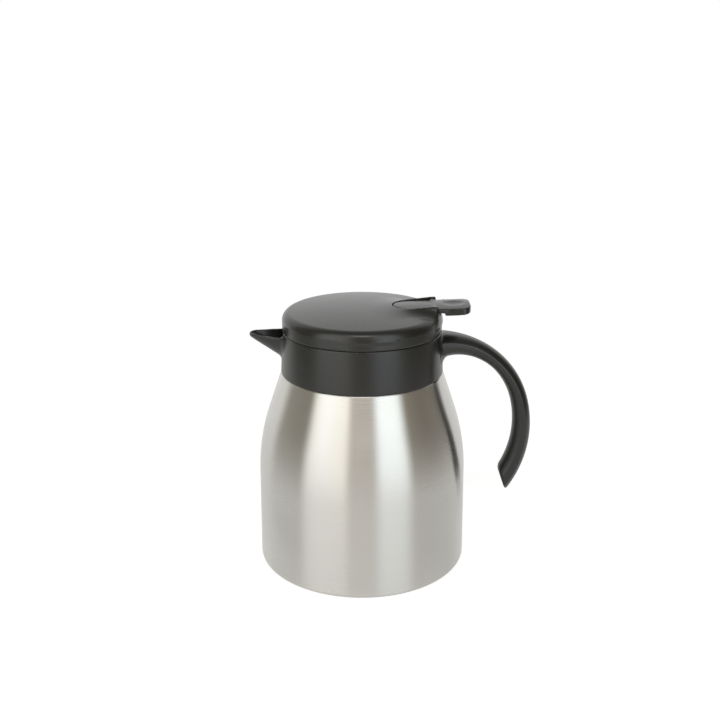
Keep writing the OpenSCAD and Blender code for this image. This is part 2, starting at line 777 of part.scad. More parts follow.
module valve_stem() {
    color(bright) {
        translate([0, 0, seal_z - foot_t]) cylinder(r = foot_r, h = foot_t);
        translate([0, 0, seal_z - foot_t / 2])
            cylinder(d = stem_d, h = head_z + head_t - head_cap_t - seal_z + foot_t / 2);
    }
}

module valve_seal() {
    color(silicone) translate([0, 0, seal_z]) difference() {
        cylinder(r = disc_r - seal_in, h = valve_seal_t);
        translate([0, 0, -cut]) cylinder(r = stem_d / 2 + seat_gap, h = valve_seal_t + 2 * cut);
    }
}

module valve_disc() {
    color(moulded) translate([0, 0, disc_z]) difference() {
        union() {
            cylinder(r = disc_r, h = disc_t);
            cylinder(r = foot_r, h = disc_t + hub_h);
        }
        translate([0, 0, -cut]) cylinder(r = stem_d / 2 + seat_gap, h = disc_t + hub_h + 2 * cut);
    }
}

module stem_head() {
    color(moulded) translate([0, 0, head_z]) difference() {
        cylinder(r = head_r, h = head_t);
        translate([0, 0, -cut])
            cylinder(r = stem_d / 2 + seat_gap, h = cut + head_t - head_cap_t + seat_gap);
    }
}

// Spring

rings_per_turn = 8;
wire_sides = 6;
spring_z0 = disc_top_z + wire_d / 2 + seat_gap;
spring_z1 = flange_z - wire_d / 2 - seat_gap;
spring_rings = spring_turns * rings_per_turn;
end_turns = 0.5;

// Middle of the wire at ring i: half a turn lies flat at each end
function wire_at(i) = let (turn = i / rings_per_turn,
        u = (turn - end_turns) / (spring_turns - 2 * end_turns))
    [spring_d / 2 * cos(360 * turn), spring_d / 2 * sin(360 * turn),
     spring_z0 + (spring_z1 - spring_z0) * min(1, max(0, u))];

spring_gap = min([for (i = [0:spring_rings], j = [0:spring_rings])
    if (j - i >= rings_per_turn - 1) norm(wire_at(i) - wire_at(j))]) - wire_d;

module valve_spring() {
    echo(least_gap_between_spring_turns = spring_gap);
    points = [for (i = [0:spring_rings], k = [0:wire_sides - 1]) let (
            a = 360 * i / rings_per_turn, b = 360 * k / wire_sides, c = wire_at(i),
            out = wire_d / 2 * cos(b))
        [c[0] + out * cos(a), c[1] + out * sin(a), c[2] + wire_d / 2 * sin(b)]];
    sides = [for (i = [0:spring_rings - 1], k = [0:wire_sides - 1]) let (
            p = wire_sides * i + k, q = wire_sides * i + (k + 1) % wire_sides)
        each [[p, q, q + wire_sides], [p, q + wire_sides, p + wire_sides]]];
    ends = [[for (k = [wire_sides - 1:-1:0]) k],
            [for (k = [0:wire_sides - 1]) wire_sides * spring_rings + k]];
    color(bright) polyhedron(points, concat(sides, ends));
}

// Lever and its pin

crown_r = 80;
crown_tilt = 1.9;
crown_rise = 0.8;
crown_in = 6;
crown_x = pad_x - crown_in;
crown_z = pad_z + crown_rise;
// The pad's end is rounded: how far the rounding reaches along the lever and across it
end_round_x = 6.4;
end_round_y = 9;
dish_r = 40;
dish_in = 3;
dish_x = (neck_x + pad_x) / 2 - dish_in;
dish_depth = 0.8;
skirt_t = 1.6;
plate_t = 1;
plate_z = neck_z + plate_t;
rib_t = 2;
arm_w = 12;
arm_t = 2.6;
// The arm rises from the fork to the pivot, with its bend this far from the axis
arm_bend_x = 26;
arm_bend_rise = 3.6;
arm_root = 4;
finger_x = head_r + 2 * swing_gap;

// Outline of the lever from above, moved inwards by an inset, from the nose to the pad's end
function lever_edge(inset) = concat(
    [for (i = [0:plan_steps]) [nose_edge[i], lever_half(nose_edge[i])]],
    [[pivot_x, lever_w / 2], [neck_x, pad_w / 2]],
    [for (i = [0:plan_steps]) let (q = 90 - 90 * i / plan_steps)
        [pad_x - end_round_x + (end_round_x - inset) * cos(q),
         pad_w / 2 - end_round_y + (end_round_y - inset) * sin(q)]]);

module pad_block(inset, x0, z0, z1) {
    translate([0, 0, z0]) linear_extrude(z1 - z0) intersection() {
        polygon(mirrored(lever_edge(inset)));
        translate([x0, -pad_w / 2 + inset]) square([pad_x, pad_w - 2 * inset]);
    }
}

// The arm's outline from the side: a thin finger at the fork, deeper under the plate
arm_side = [
    [0, fork_z - fork_r], [finger_x, fork_z - fork_r + fork_gap], [arm_bend_x, fork_z + arm_bend_rise],
    [pivot_x - 2 * arm_root, pivot_z - knuckle_d / 2], [pivot_x, pivot_z - knuckle_d / 2],
    [pivot_x, plate_z], [nose_x + arm_root, plate_z],
    [nose_x + arm_root, fork_z + arm_bend_rise + arm_t], [finger_x, fork_z + fork_r],
    [0, fork_z + fork_r]];

module lever() {
    skirt_z = pad_z - pad_h;
    slot_w = stem_d + 2 * swing_gap;
    color(charcoal) difference() {
        union() {
            intersection() {
                union() {
                    pad_block(0, nose_x, neck_z, crown_z + cut);
                    pad_block(0, neck_x, skirt_z, crown_z);
                }
                translate([crown_x, 0, crown_z - crown_r]) rotate([0, 90 - crown_tilt, 0])
                    cylinder(r = crown_r, h = 4 * pad_x, center = true, $fn = 192);
            }
            translate([0, arm_w / 2, 0]) rotate([90, 0, 0]) linear_extrude(arm_w) polygon(arm_side);
            translate([0, arm_w / 2, fork_z]) rotate([90, 0, 0]) cylinder(r = fork_r, h = arm_w);
            translate([pivot_x, lever_w / 2 - nose_in, pivot_z]) rotate([90, 0, 0])
                cylinder(d = knuckle_d, h = lever_w - 2 * nose_in);
        }
        difference() {
            pad_block(skirt_t, neck_x + skirt_t, skirt_z - cut, plate_z + plate_t / 2);
            translate([neck_x, -rib_t / 2, skirt_z - 2 * cut]) cube([pad_x - neck_x, rib_t, plate_z]);
        }
        translate([dish_x, 0, crown_z + dish_r - dish_depth]) sphere(r = dish_r);
        translate([-fork_r - cut, -slot_w / 2, fork_z - fork_r - cut])
            cube([fork_r + cut + slot_w / 2 + 4 * swing_gap, slot_w, 4 * fork_r]);
        translate([pivot_x, pad_w, pivot_z]) rotate([90, 0, 0])
            cylinder(d = pin_d + 2 * running_fit, h = 2 * pad_w);
    }
}

module lever_pin() {
    len = pin_len - 2 * seat_gap;
    color(bright) translate([pivot_x, len / 2, pivot_z]) rotate([90, 0, 0]) cylinder(d = pin_d, h = len);
}

outer_shell();
inner_vessel();
base_plate();
vacuum_cap();
getter();
collar();
collar_seal();
thread_ring();
handle_frame();
handle_cover();
handle_screws();
neck_gasket();
lid_cover();
stopper_body();
stopper_deck();
deck_gasket();
lid_screws();
stem_seal();
valve_seat();
valve_spring();
lever_pin();
lever();
valve_stem();
valve_disc();
valve_seal();
stem_head();
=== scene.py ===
# %% [markdown]
# # A vacuum carafe: brushed body, moulded collar and handle, screw-in lid with a thumb lever
#
# This file is a lesson in cells. Each step first says what a piece or finish is on the real
# object, then how it could be made in Blender, and why this way was chosen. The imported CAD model
# is loaded first and is never moved. The visible pieces are built around it, in its own frame.

# %% Load the frame
import json
import math

import bpy
import numpy as np
import openvdb
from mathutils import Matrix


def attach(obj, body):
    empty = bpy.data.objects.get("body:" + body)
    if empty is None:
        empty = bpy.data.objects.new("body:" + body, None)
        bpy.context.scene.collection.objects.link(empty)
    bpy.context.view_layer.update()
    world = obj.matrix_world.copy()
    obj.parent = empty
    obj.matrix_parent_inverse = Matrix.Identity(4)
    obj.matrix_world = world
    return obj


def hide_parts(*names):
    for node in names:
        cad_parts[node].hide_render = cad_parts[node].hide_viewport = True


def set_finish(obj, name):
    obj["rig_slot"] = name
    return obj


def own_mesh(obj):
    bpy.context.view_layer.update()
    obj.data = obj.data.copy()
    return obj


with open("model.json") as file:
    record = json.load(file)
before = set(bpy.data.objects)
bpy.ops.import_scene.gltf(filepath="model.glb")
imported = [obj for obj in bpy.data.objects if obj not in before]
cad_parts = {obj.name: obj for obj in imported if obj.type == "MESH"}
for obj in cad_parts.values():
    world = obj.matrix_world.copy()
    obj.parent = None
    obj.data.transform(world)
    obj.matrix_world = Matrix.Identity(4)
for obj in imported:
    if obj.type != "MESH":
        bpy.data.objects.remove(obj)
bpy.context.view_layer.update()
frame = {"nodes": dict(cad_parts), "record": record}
nodes = frame["nodes"]
record = frame["record"]

# %% [markdown]
# ## The camera
#
# The photograph looks down on the carafe by 18.3 degrees from about 0.67 m away. The lens and the
# place were solved from the rim of the lid, the seam under it, the lower edge of the collar and the
# foot. They are typed in here. The shift is a share of the picture's width, two pixels in 720, and
# nothing later depends on pixels.

# %% Camera
CAMERA_PLACE = (0.0, -0.591, 0.324)
CAMERA_DOWN = math.radians(18.3)
CAMERA_LENS = 50.6
CAMERA_SHIFT = -2 / 720
SENSOR_W, CLIP_NEAR, CLIP_FAR = 36, 0.01, 20

camera_data = bpy.data.cameras.new("photo_camera")
camera_data.sensor_width = SENSOR_W
camera_data.lens = CAMERA_LENS
camera_data.shift_x = CAMERA_SHIFT
camera_data.clip_start = CLIP_NEAR
camera_data.clip_end = CLIP_FAR
camera = bpy.data.objects.new("photo_camera", camera_data)
camera.location = CAMERA_PLACE
camera.rotation_euler = (math.radians(90) - CAMERA_DOWN, 0, 0)
scene = bpy.context.scene
scene.collection.objects.link(camera)
scene.camera = camera
print("camera at", CAMERA_PLACE, "lens", CAMERA_LENS)

# %% [markdown]
# ## Sizes
#
# Moulded and drawn parts are drawn in millimetres, so the sizes here are in millimetres too, and
# they are those of the CAD source. One factor turns them to metres where a mesh is made. The body's
# outline is a short lower wall that leans in a little, a long curve and a straight taper.

# %% Sizes of the body
MM = 0.001
BASE_R, WAIST_R, CURVE_START_Z, CURVE_R = 65.0, 64.4, 58.0, 128.0
SHOULDER_R, SHOULDER_Z, LIP_Z = 49.7, 122.8, 130.0
STEEL_T, NECK_R = 0.6, 41.0
LID_R, COLLAR_TOP = 48.5, 149.0

curve_x = WAIST_R - CURVE_R
shoulder_rise = SHOULDER_Z - CURVE_START_Z
TAPER = (math.atan2(shoulder_rise, SHOULDER_R - curve_x)
         - math.acos(CURVE_R / math.hypot(shoulder_rise, SHOULDER_R - curve_x)))
CURVE_END_Z = CURVE_START_Z + CURVE_R * math.sin(TAPER)
CURVE_END_R = curve_x + CURVE_R * math.cos(TAPER)


def body_r(z):
    """Outer radius of the steel body at a height."""
    if z < CURVE_START_Z:
        return BASE_R + (WAIST_R - BASE_R) * z / CURVE_START_Z
    if z < CURVE_END_Z:
        return curve_x + math.sqrt(CURVE_R**2 - (z - CURVE_START_Z) ** 2)
    return CURVE_END_R - (z - CURVE_END_Z) * math.tan(TAPER)


print("the shoulder tapers by", round(math.degrees(TAPER), 2), "degrees")

# %% [markdown]
# ## Turned and drawn metal
#
# The steel shell is drawn and spun, so it is a surface of revolution. A Screw modifier could turn a
# profile, but its ends and normals need care. Writing the rings out is as short, and it gives evenly
# spaced quads with the smooth normals that brushed metal needs.

# %% Helpers for pieces and turned profiles
pieces = []


def new_piece(name, verts_mm, faces, body, slot, replaced=()):
    """A mesh in millimetres becomes a shown piece that rides on a CAD body."""
    mesh = bpy.data.meshes.new(name)
    mesh.from_pydata((np.asarray(verts_mm, float) * MM).tolist(), [], faces)
    mesh.validate()
    mesh.shade_smooth()
    piece = bpy.data.objects.new(name, mesh)
    scene.collection.objects.link(piece)
    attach(piece, body)
    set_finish(piece, slot)
    if replaced:
        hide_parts(*replaced)
    pieces.append(piece)
    print(f"{name}: {len(mesh.vertices)} points, {len(mesh.polygons)} faces")
    return piece


def turned(name, profile, body, slot, replaced=(), around=256):
    """Turns a closed profile of (radius, height) points round the carafe's axis."""
    profile = np.asarray(profile, float)
    n = len(profile)
    angle = np.linspace(0, 2 * math.pi, around, endpoint=False)
    verts = np.stack([np.outer(np.cos(angle), profile[:, 0]), np.outer(np.sin(angle), profile[:, 0]),
                      np.tile(profile[:, 1], (around, 1))], axis=2).reshape(-1, 3)
    starts = [i % around * n for i in range(around + 1)]
    faces = [(a + k, b + k, b + (k + 1) % n, a + (k + 1) % n)
             for a, b in zip(starts, starts[1:]) for k in range(n)]
    return new_piece(name, verts, faces, body, slot, replaced)


def corner(r_mid, z_mid, radius, start, stop, steps=8):
    """Points of a rounded corner in a profile, from one angle to another in degrees."""
    return [(r_mid + radius * math.cos(math.radians(a)), z_mid + radius * math.sin(math.radians(a)))
            for a in np.linspace(start, stop, steps)]


# %% Steel body
FOOT_CORNER_R, FOOT_RING_W = 3.0, 2.0
BEAD_H, BEAD_Z = 0.8, SHOULDER_Z + 3.0
SHOULDER_EDGE, NECK_CORNER = ((0.1, -0.25), (-0.4, 0.0)), 0.5
WALL_RINGS, INNER_STEP, WALL_LOW_GAP, WALL_TOP_GAP = 90, 6, 0.4, 0.8
foot_in_r = BASE_R - FOOT_CORNER_R - FOOT_RING_W
wall_z = np.linspace(FOOT_CORNER_R + WALL_LOW_GAP, SHOULDER_Z - WALL_TOP_GAP, WALL_RINGS)
outside = corner(foot_in_r + STEEL_T / 2, STEEL_T / 2, STEEL_T / 2, 180, 270, 4)
outside += corner(body_r(FOOT_CORNER_R) - FOOT_CORNER_R, FOOT_CORNER_R, FOOT_CORNER_R, 270, 360, 12)
outside += [(body_r(z), z) for z in wall_z]
outside += [(SHOULDER_R + out, SHOULDER_Z + up) for out, up in SHOULDER_EDGE]
outside += [(NECK_R + NECK_CORNER, SHOULDER_Z), (NECK_R, SHOULDER_Z + NECK_CORNER)]
outside += [(NECK_R, BEAD_Z), (NECK_R + BEAD_H, BEAD_Z + BEAD_H)]
outside += [(NECK_R, BEAD_Z + 2 * BEAD_H), (NECK_R, LIP_Z - STEEL_T)]
inside = [(NECK_R - STEEL_T, LIP_Z - STEEL_T), (NECK_R - STEEL_T, SHOULDER_Z - STEEL_T)]
inside += [(body_r(z) - STEEL_T, z) for z in wall_z[::-INNER_STEP]] + [(foot_in_r, STEEL_T)]
turned("steel_body", outside + inside, "pot", "brushed_steel", ["outer_shell"])

# %% [markdown]
# ## Moulded plastic as a field of distances
#
# The collar, handle, lid and lever are injection moulded: every edge has a small radius and every
# joint of two forms a fillet. Bevels on boolean cuts break where forms cross at shallow angles. So
# these pieces are described the way a mould maker thinks, as solids that melt into each other. A
# function gives each point's distance to the surface, two forms join with a fillet, and OpenVDB
# turns the zero surface into a mesh. The grid's step is 0.45 mm, 0.3 mm for the lever and 0.14 mm
# for the small screws. A rounding that is smaller than a step shows as a narrow bevel.

# %% Helpers for distance fields
GRID_STEP, FINE_STEP, SCREW_STEP = 0.45, 0.3, 0.14
MARGIN, BAND, TINY = 2, 3.0, 1e-12


def cut_corner(a, b, radius):
    """Where both solids are: the edge between them is rounded."""
    u, v = np.maximum(a + radius, 0), np.maximum(b + radius, 0)
    return np.minimum(np.maximum(a, b), -radius) + np.hypot(u, v)


def join(a, b, radius):
    """Either solid: the corner between them is filled by a fillet."""
    u, v = np.maximum(radius - a, 0), np.maximum(radius - b, 0)
    return np.maximum(np.minimum(a, b), radius) - np.hypot(u, v)


def outline_distance(x, y, points):
    """Signed distance to a closed outline in a plane, negative inside."""
    best = np.full(np.broadcast(x, y).shape, 1e9)
    inner = np.zeros(best.shape, bool)
    for (x0, y0), (x1, y1) in zip(points, points[1:] + points[:1]):
        ex, ey = x1 - x0, y1 - y0
        t = np.clip(((x - x0) * ex + (y - y0) * ey) / (ex * ex + ey * ey + TINY), 0, 1)
        best = np.minimum(best, (x - x0 - t * ex) ** 2 + (y - y0 - t * ey) ** 2)
        crosses = (y0 > y) != (y1 > y)
        inner ^= crosses & (x < x0 + (y - y0) * ex / (ey if ey else TINY))
    return np.where(inner, -1, 1) * np.sqrt(best)


def surface(field, low, high, step):
    """Points and quads of a field's zero surface between two corners, all in millimetres."""
    axes = [np.arange(a - MARGIN * step, b + (MARGIN + 1) * step, step) for a, b in zip(low, high)]
    x, y, z = np.meshgrid(*axes, indexing="ij", sparse=True)
    values = np.broadcast_to(field(x, y, z), [len(a) for a in axes]) / step
    grid = openvdb.FloatGrid(BAND)
    grid.copyFromArray(np.ascontiguousarray(np.clip(values, -BAND, BAND), dtype=np.float32))
    points, quads = grid.convertToQuads()
    return np.asarray(points) * step + [a[0] for a in axes], quads[:, ::-1]


def moulded(name, field, low, high, step, body, slot, replaced=()):
    """A piece with the surface of a distance field."""
    verts, quads = surface(field, low, high, step)
    return new_piece(name, verts, quads.tolist(), body, slot, replaced)


# %% [markdown]
# ## The lid
#
# The lid is a shallow drum with a domed top and a soft edge. A saddle rises from a point near the
# middle to two ears at the rim, and the lever lies in the slot between them, so the lever's outline
# from above is drawn first and shared by both. The saddle is a bank that keeps to the slot: how far
# it runs out is a row of widths along the slot, so it starts soft at the lever's nose and stands
# steep at the rim.

# %% The lever's outline from above
NOSE_X, NOSE_LEN, NOSE_HALF, LEVER_HALF, PAD_HALF = 18.6, 14.0, 10.4, 11.0, 12.0
PIVOT_X, PIVOT_Z, NECK_X, PAD_END_X = 43.0, 162.2, 49.6, 65.2
END_ROUND_X, END_ROUND_Y = 5.0, 7.0
SWING_GAP = 0.5


def lever_outline():
    """A rounded nose, straight flanks, and a pad whose end is drawn round."""
    quarter = np.radians(np.linspace(0, 90, 15))
    edge = [(NOSE_X + NOSE_LEN * (1 - math.cos(a)), NOSE_HALF * math.sin(a)) for a in quarter]
    edge += [(PIVOT_X, LEVER_HALF), (NECK_X, PAD_HALF)]
    edge += [(PAD_END_X - END_ROUND_X * (1 - math.sin(a)), PAD_HALF - END_ROUND_Y * (1 - math.cos(a)))
             for a in quarter]
    return edge + [(x, -y) for x, y in edge[::-1]]


def slot_outline():
    """The same nose and flanks, drawn on past the rim of the lid."""
    edge = [p for p in lever_outline() if p[1] > 0 and p[0] <= NECK_X + 0.1]
    return edge + [(2 * LID_R, PAD_HALF), (2 * LID_R, -PAD_HALF)] + [(x, -y) for x, y in edge[::-1]]


# %% Lid
# The lid's lower edge is drawn 0.1 mm lower than in the CAD model, which keeps the slit under it a
# thin line.
LID_EDGE_R, LID_T, LID_BOTTOM_Z, LID_EDGE_Z, DOME_H = 4.5, 2.2, 149.2, 160.4, 2.7
PIN_R, PIN_PLAY, PIN_HALF, NOTCH_Z = 1.5, 0.05, 13.2, 159.92
KNUCKLE_ROOM_R, SLOT_ROUND, LID_LIP_ROUND = 3.2, 0.35, 0.15
lid_edge_in = LID_R - LID_EDGE_R
DOME_R = (lid_edge_in**2 + DOME_H**2) / (2 * DOME_H)
DOME_C = LID_EDGE_Z + DOME_H - DOME_R
SADDLE_X = [12.6, 20.0, 28.0, 36.0, 42.0, 45.4, 46.4, 47.0, 47.6, 48.3]
SADDLE_TOP = [162.9, 163.5, 164.3, 165.1, 165.7, 165.8, 165.0, 163.6, 161.0, 158.5]
SADDLE_RUN = [16.0, 13.0, 7.0, 5.2, 4.7, 4.6, 4.6, 4.4, 4.0, 3.5]
SADDLE_FOOT_Z, SADDLE_IN, CREST_GAP, SADDLE_SOFT = 159.6, 1.4, 1.3, 3.5
SADDLE_LOW_Z, SADDLE_EDGE_ROUND, CREST_ROUND = 156.0, 1.2, 0.7
LEAST_FALL, NOTCH_PAST_PIVOT = 0.5, 1
BOSS_ANGLES = (60, 150, 210, 300)
BOSS_X, BOSS_R, BOSS_Z, BOSS_HOLE, BOSS_SUNK = 41.0, 3.4, 148.1, 1.5, 0.5


def saddle_field(x, y, z):
    """A bank that rises round the slot to a crest just outside it."""
    top, run = (np.interp(x, SADDLE_X, row) for row in (SADDLE_TOP, SADDLE_RUN))
    steep = np.hypot(1, np.gradient(top, axis=0) / np.gradient(x, axis=0))
    fall = np.maximum(top - SADDLE_FOOT_Z, LEAST_FALL)
    out = outline_distance(x, y, slot_outline()) - CREST_GAP
    flank = (out * fall + (z - top) * run) / np.hypot(fall, run)
    return cut_corner(flank, (z - top) / steep, CREST_ROUND)


def lid_field(x, y, z):
    dome = np.hypot(np.hypot(x, y), z - DOME_C) - DOME_R
    side = np.hypot(x, y) - LID_R
    drum = cut_corner(dome, side, LID_EDGE_R)
    rim = np.maximum(side + SADDLE_IN, SADDLE_LOW_Z - z)
    saddle = cut_corner(saddle_field(x, y, z), rim, SADDLE_EDGE_ROUND)
    solid = cut_corner(join(drum, saddle, SADDLE_SOFT), LID_BOTTOM_Z - z, LID_LIP_ROUND)
    shell = np.maximum(solid, -cut_corner(dome + LID_T, side + LID_T, LID_EDGE_R - LID_T))
    for angle in np.radians(BOSS_ANGLES):
        post = np.hypot(x - BOSS_X * math.cos(angle), y - BOSS_X * math.sin(angle))
        shell = np.minimum(shell, np.maximum(np.maximum(post - BOSS_R, BOSS_Z - z), drum + BOSS_SUNK))
        shell = np.maximum(shell, -np.maximum(post - BOSS_HOLE, z - LID_EDGE_Z + LID_T))
    slot = outline_distance(x, y, slot_outline()) - SWING_GAP
    slot = np.maximum(slot, np.minimum(x - PIVOT_X - NOTCH_PAST_PIVOT, NOTCH_Z - z))
    from_pin = np.hypot(x - PIVOT_X, z - PIVOT_Z)
    knuckle = np.maximum(from_pin - KNUCKLE_ROOM_R, np.abs(y) - LEVER_HALF - SWING_GAP)
    shell = cut_corner(shell, -np.minimum(slot, knuckle), SLOT_ROUND)
    pin_hole = np.maximum(from_pin - PIN_R - PIN_PLAY, np.abs(y) - PIN_HALF)
    return np.maximum(shell, -pin_hole)


moulded("lid_shell", lid_field, (-49, -49, 147.5), (49, 49, 166.2), GRID_STEP, "lid", "lid_moulding",
        ["lid_cover"])

# %% [markdown]
# ## The lever
#
# The thumb lever is one moulding: a crowned plate with a rounded nose, a pad with a thumb dish and a
# skirt under it, a knuckle round the pin, and an arm whose fork holds the valve's stem.

# %% Lever
CROWN_X, CROWN_Z, CROWN_R, CROWN_TILT = 59.2, 165.2, 80.0, math.tan(math.radians(1.9))
NECK_Z, SKIRT_Z, SKIRT_END_RISE, SKIRT_T, PLATE_Z = 161.4, 160.0, 1.0, 1.6, 162.9
FORK_Z, FORK_R, ARM_HALF, KNUCKLE_R = 149.8, 1.4, 6.0, 2.7
DISH_X, DISH_R, DISH_DEPTH = 54.4, 24.0, 1.0
CROWN_ROUND, LEVER_ROUND, FORK_ROUND, DISH_ROUND = 0.9, 0.4, 0.3, 0.25
NECK_SOFT, ARM_SOFT, BAR_PAST_NECK = 0.5, 0.6, 1
RIB_HALF, STEM_SLOT_HALF, STEM_SLOT_X, STEM_SLOT_Z = 1.0, 3.0, 5.0, 156.0
ARM_SIDE = [(0, 148.4), (6.5, 148.8), (26, 153.4), (35, 159.5), (43, 159.5), (43, 162.4), (22.6, 162.4),
            (22.6, 156.0), (6.5, 151.2), (0, 151.2)]


def lever_field(x, y, z):
    plan = outline_distance(x, y, lever_outline())
    top = z - (CROWN_Z + (x - CROWN_X) * CROWN_TILT - y**2 / (2 * CROWN_R))
    crowned = cut_corner(plan, top, CROWN_ROUND)
    bar = np.maximum(cut_corner(crowned, NECK_Z - z, LEVER_ROUND), x - NECK_X - BAR_PAST_NECK)
    skirt = SKIRT_Z + SKIRT_END_RISE * np.clip((x - NECK_X) / (PAD_END_X - NECK_X), 0, 1) ** 2
    pad = cut_corner(cut_corner(crowned, skirt - z, LEVER_ROUND), NECK_X - x, LEVER_ROUND)
    pocket = np.maximum(np.maximum(plan + SKIRT_T, NECK_X + SKIRT_T - x), z - PLATE_Z)
    pad = np.maximum(pad, -np.maximum(pocket, RIB_HALF - np.abs(y)))
    body = join(bar, pad, NECK_SOFT)
    arm = cut_corner(outline_distance(x, z, ARM_SIDE), np.abs(y) - ARM_HALF, LEVER_ROUND)
    fork = cut_corner(np.hypot(x, z - FORK_Z) - FORK_R, np.abs(y) - ARM_HALF, FORK_ROUND)
    from_pin = np.hypot(x - PIVOT_X, z - PIVOT_Z)
    knuckle = cut_corner(from_pin - KNUCKLE_R, np.abs(y) - NOSE_HALF, FORK_ROUND)
    body = np.minimum(join(body, np.minimum(arm, fork), ARM_SOFT), knuckle)
    dish_z = CROWN_Z + (DISH_X - CROWN_X) * CROWN_TILT + DISH_R - DISH_DEPTH
    dish = DISH_R - np.sqrt((x - DISH_X) ** 2 + y**2 + (z - dish_z) ** 2)
    body = cut_corner(body, dish, DISH_ROUND)
    stem_slot = np.maximum(np.maximum(np.abs(y) - STEM_SLOT_HALF, x - STEM_SLOT_X), z - STEM_SLOT_Z)
    pin = from_pin - PIN_R - PIN_PLAY
    return np.maximum(np.maximum(body, -stem_slot), -pin)


moulded("thumb_lever", lever_field, (-2, -12.5, 148), (66, 12.5, 166), FINE_STEP, "lever",
        "lid_moulding", ["lever"])

# %% [markdown]
# ## Collar and spout
#
# The collar is a tapered ring that hides the steel mouth. Its spout is drawn out of the ring as a
# small open trough: a lip that narrows to a round tip, and a straight keel below it.

# %% Collar
COLLAR_IN_R, COLLAR_FLANGE_T = 46.3, 2.4
RIM_Z, RIM_TIP_Z, RIM_ROOT_X, RIM_LEN = 145.7, 146.4, 48.5, 17.0
SPOUT_X = [-68.75, -68.6, -68.0, -66.9, -64.8, -61.5, -59.0, -54.4, -49.0, -44.0]
SPOUT_HALF = [0.0, 0.8, 2.9, 4.6, 6.1, 7.25, 7.95, 9.5, 11.0, 12.6]
KEEL_X = [-70.0, -68.4, -50.5, -46.0]
KEEL_Z = [144.6, 144.2, 132.2, 128.0]
SPOUT_T, SPOUT_SOFT, SPOUT_START_X, TROUGH_START_X = 1.5, 2.2, -44.0, -40.0
RING_ROUND, RING_LOW_ROUND, LIP_ROUND, TROUGH_ROUND = 0.15, 0.3, 0.3, 0.25
SECTION_POWER, KEEL_T_SHARE, KEEL_LEAN, LEAST_DEPTH, LEAN_HALF = 1.6, 1.2, 0.83, 0.4, 0.5
NECK_PLAY, SCREW_Y, SCREW_Z, SCREW_HOLES_X = 0.1, 5.6, 137.0, 40
SCREW_HEAD_HOLE_R, SCREW_HOLE_R, SCREW_LEDGE = 2.8, 1.6, 0.4


def collar_side(x, y, z):
    """Distance to the collar's tapered outside."""
    slope = (SHOULDER_R - LID_R) / (COLLAR_TOP - SHOULDER_Z)
    return np.hypot(x, y) - (SHOULDER_R - (z - SHOULDER_Z) * slope)


def spout_field(x, y, z, rim, inset):
    """The trough: a rounded section whose half width and depth change along the spout."""
    half = np.interp(x, SPOUT_X, SPOUT_HALF) - inset
    keel = np.interp(x, KEEL_X, KEEL_Z) + inset * KEEL_T_SHARE
    depth = np.maximum(rim - keel, LEAST_DEPTH)
    down = (rim - z) / depth
    wide = half * np.sqrt(np.clip(1 - np.clip(down, 0, 1) ** SECTION_POWER, 0, 1))
    lean = depth / np.hypot(depth, np.abs(half) + LEAN_HALF)
    return np.where(down > 1, np.hypot(y * lean, (keel - z) * KEEL_LEAN), (np.abs(y) - wide) * lean)


def collar_field(x, y, z):
    r = np.hypot(x, y)
    ring = cut_corner(collar_side(x, y, z), z - COLLAR_TOP, RING_ROUND)
    ring = cut_corner(ring, SHOULDER_Z - z, RING_LOW_ROUND)
    rim = RIM_Z + (RIM_TIP_Z - RIM_Z) * np.clip((-RIM_ROOT_X - x) / RIM_LEN, 0, 1)
    spout = np.maximum(spout_field(x, y, z, rim, 0), x - SPOUT_START_X)
    solid = join(ring, cut_corner(spout, z - rim, LIP_ROUND), SPOUT_SOFT)
    bore = np.where(z > SHOULDER_Z + COLLAR_FLANGE_T, r - COLLAR_IN_R, r - NECK_R - NECK_PLAY)
    trough = np.maximum(spout_field(x, y, z, rim, SPOUT_T), x - TROUGH_START_X)
    solid = np.maximum(cut_corner(solid, -trough, TROUGH_ROUND), -bore)
    screw_r = np.where(x < COLLAR_IN_R + SCREW_LEDGE, SCREW_HEAD_HOLE_R, SCREW_HOLE_R)
    screw_hole = np.hypot(np.abs(y) - SCREW_Y, z - SCREW_Z) - screw_r
    return np.maximum(solid, -np.maximum(screw_hole, SCREW_HOLES_X - x))


moulded("spout_collar", collar_field, (-69.2, -49.8, 122.5), (49.8, 49.8, 149.3), GRID_STEP, "pot",
        "charcoal_moulding", ["collar"])

# %% [markdown]
# ## Handle
#
# The handle is a hook whose back follows two arcs. Its section has a crowned back, upright flanks
# that meet it at a crease, and a rounded finger side. A sweep along a curve would give one section
# all the way, but here the grip swells towards its end, and the root spreads and melts into the
# collar. As a distance field it is simple: each point is read as a depth below the back and an
# angle along it, and the root is joined to the collar's outside with a fillet.

# %% Handle: the arcs of its back and its section
BEND_X, BEND_Z, BEND_R, SWEEP_R, SPLIT = 47.5, 89.4, 57.2, 73.7, math.radians(15)
SWEEP_X = BEND_X - (SWEEP_R - BEND_R) * math.cos(SPLIT)
SWEEP_Z = BEND_Z - (SWEEP_R - BEND_R) * math.sin(SPLIT)
GRIP_T, ROOT_T, END_T, GRIP_HALF, ROOT_HALF = 9.5, 17.5, 13.2, 7.8, 15.0
ROOT_ANGLE, FLARE_ANGLE, THIN_ANGLE, END_ANGLE, SWELL = 95, 60, 45, -35, 1.3
CROWN, CROWN_POWER, COVER_T, SIDE_MIN, CREASE_R = 3.8, 2.7, 1.2, 0.2, 0.45
END_IN, END_OUT, END_ROUND, END_REACH_Z = (86.0, 57.0), (91.6, 41.2), 2.0, 75.0
FILLET_LOW, FILLET_TOP, FILLET_Z, FEATHER, SUNK = 4.5, 1.2, (130.0, 141.0), 0.97, 0.3
ROOT_TOP_GAP, ROOT_START_X, SPARE_ANGLE = 0.6, 44.0, 5


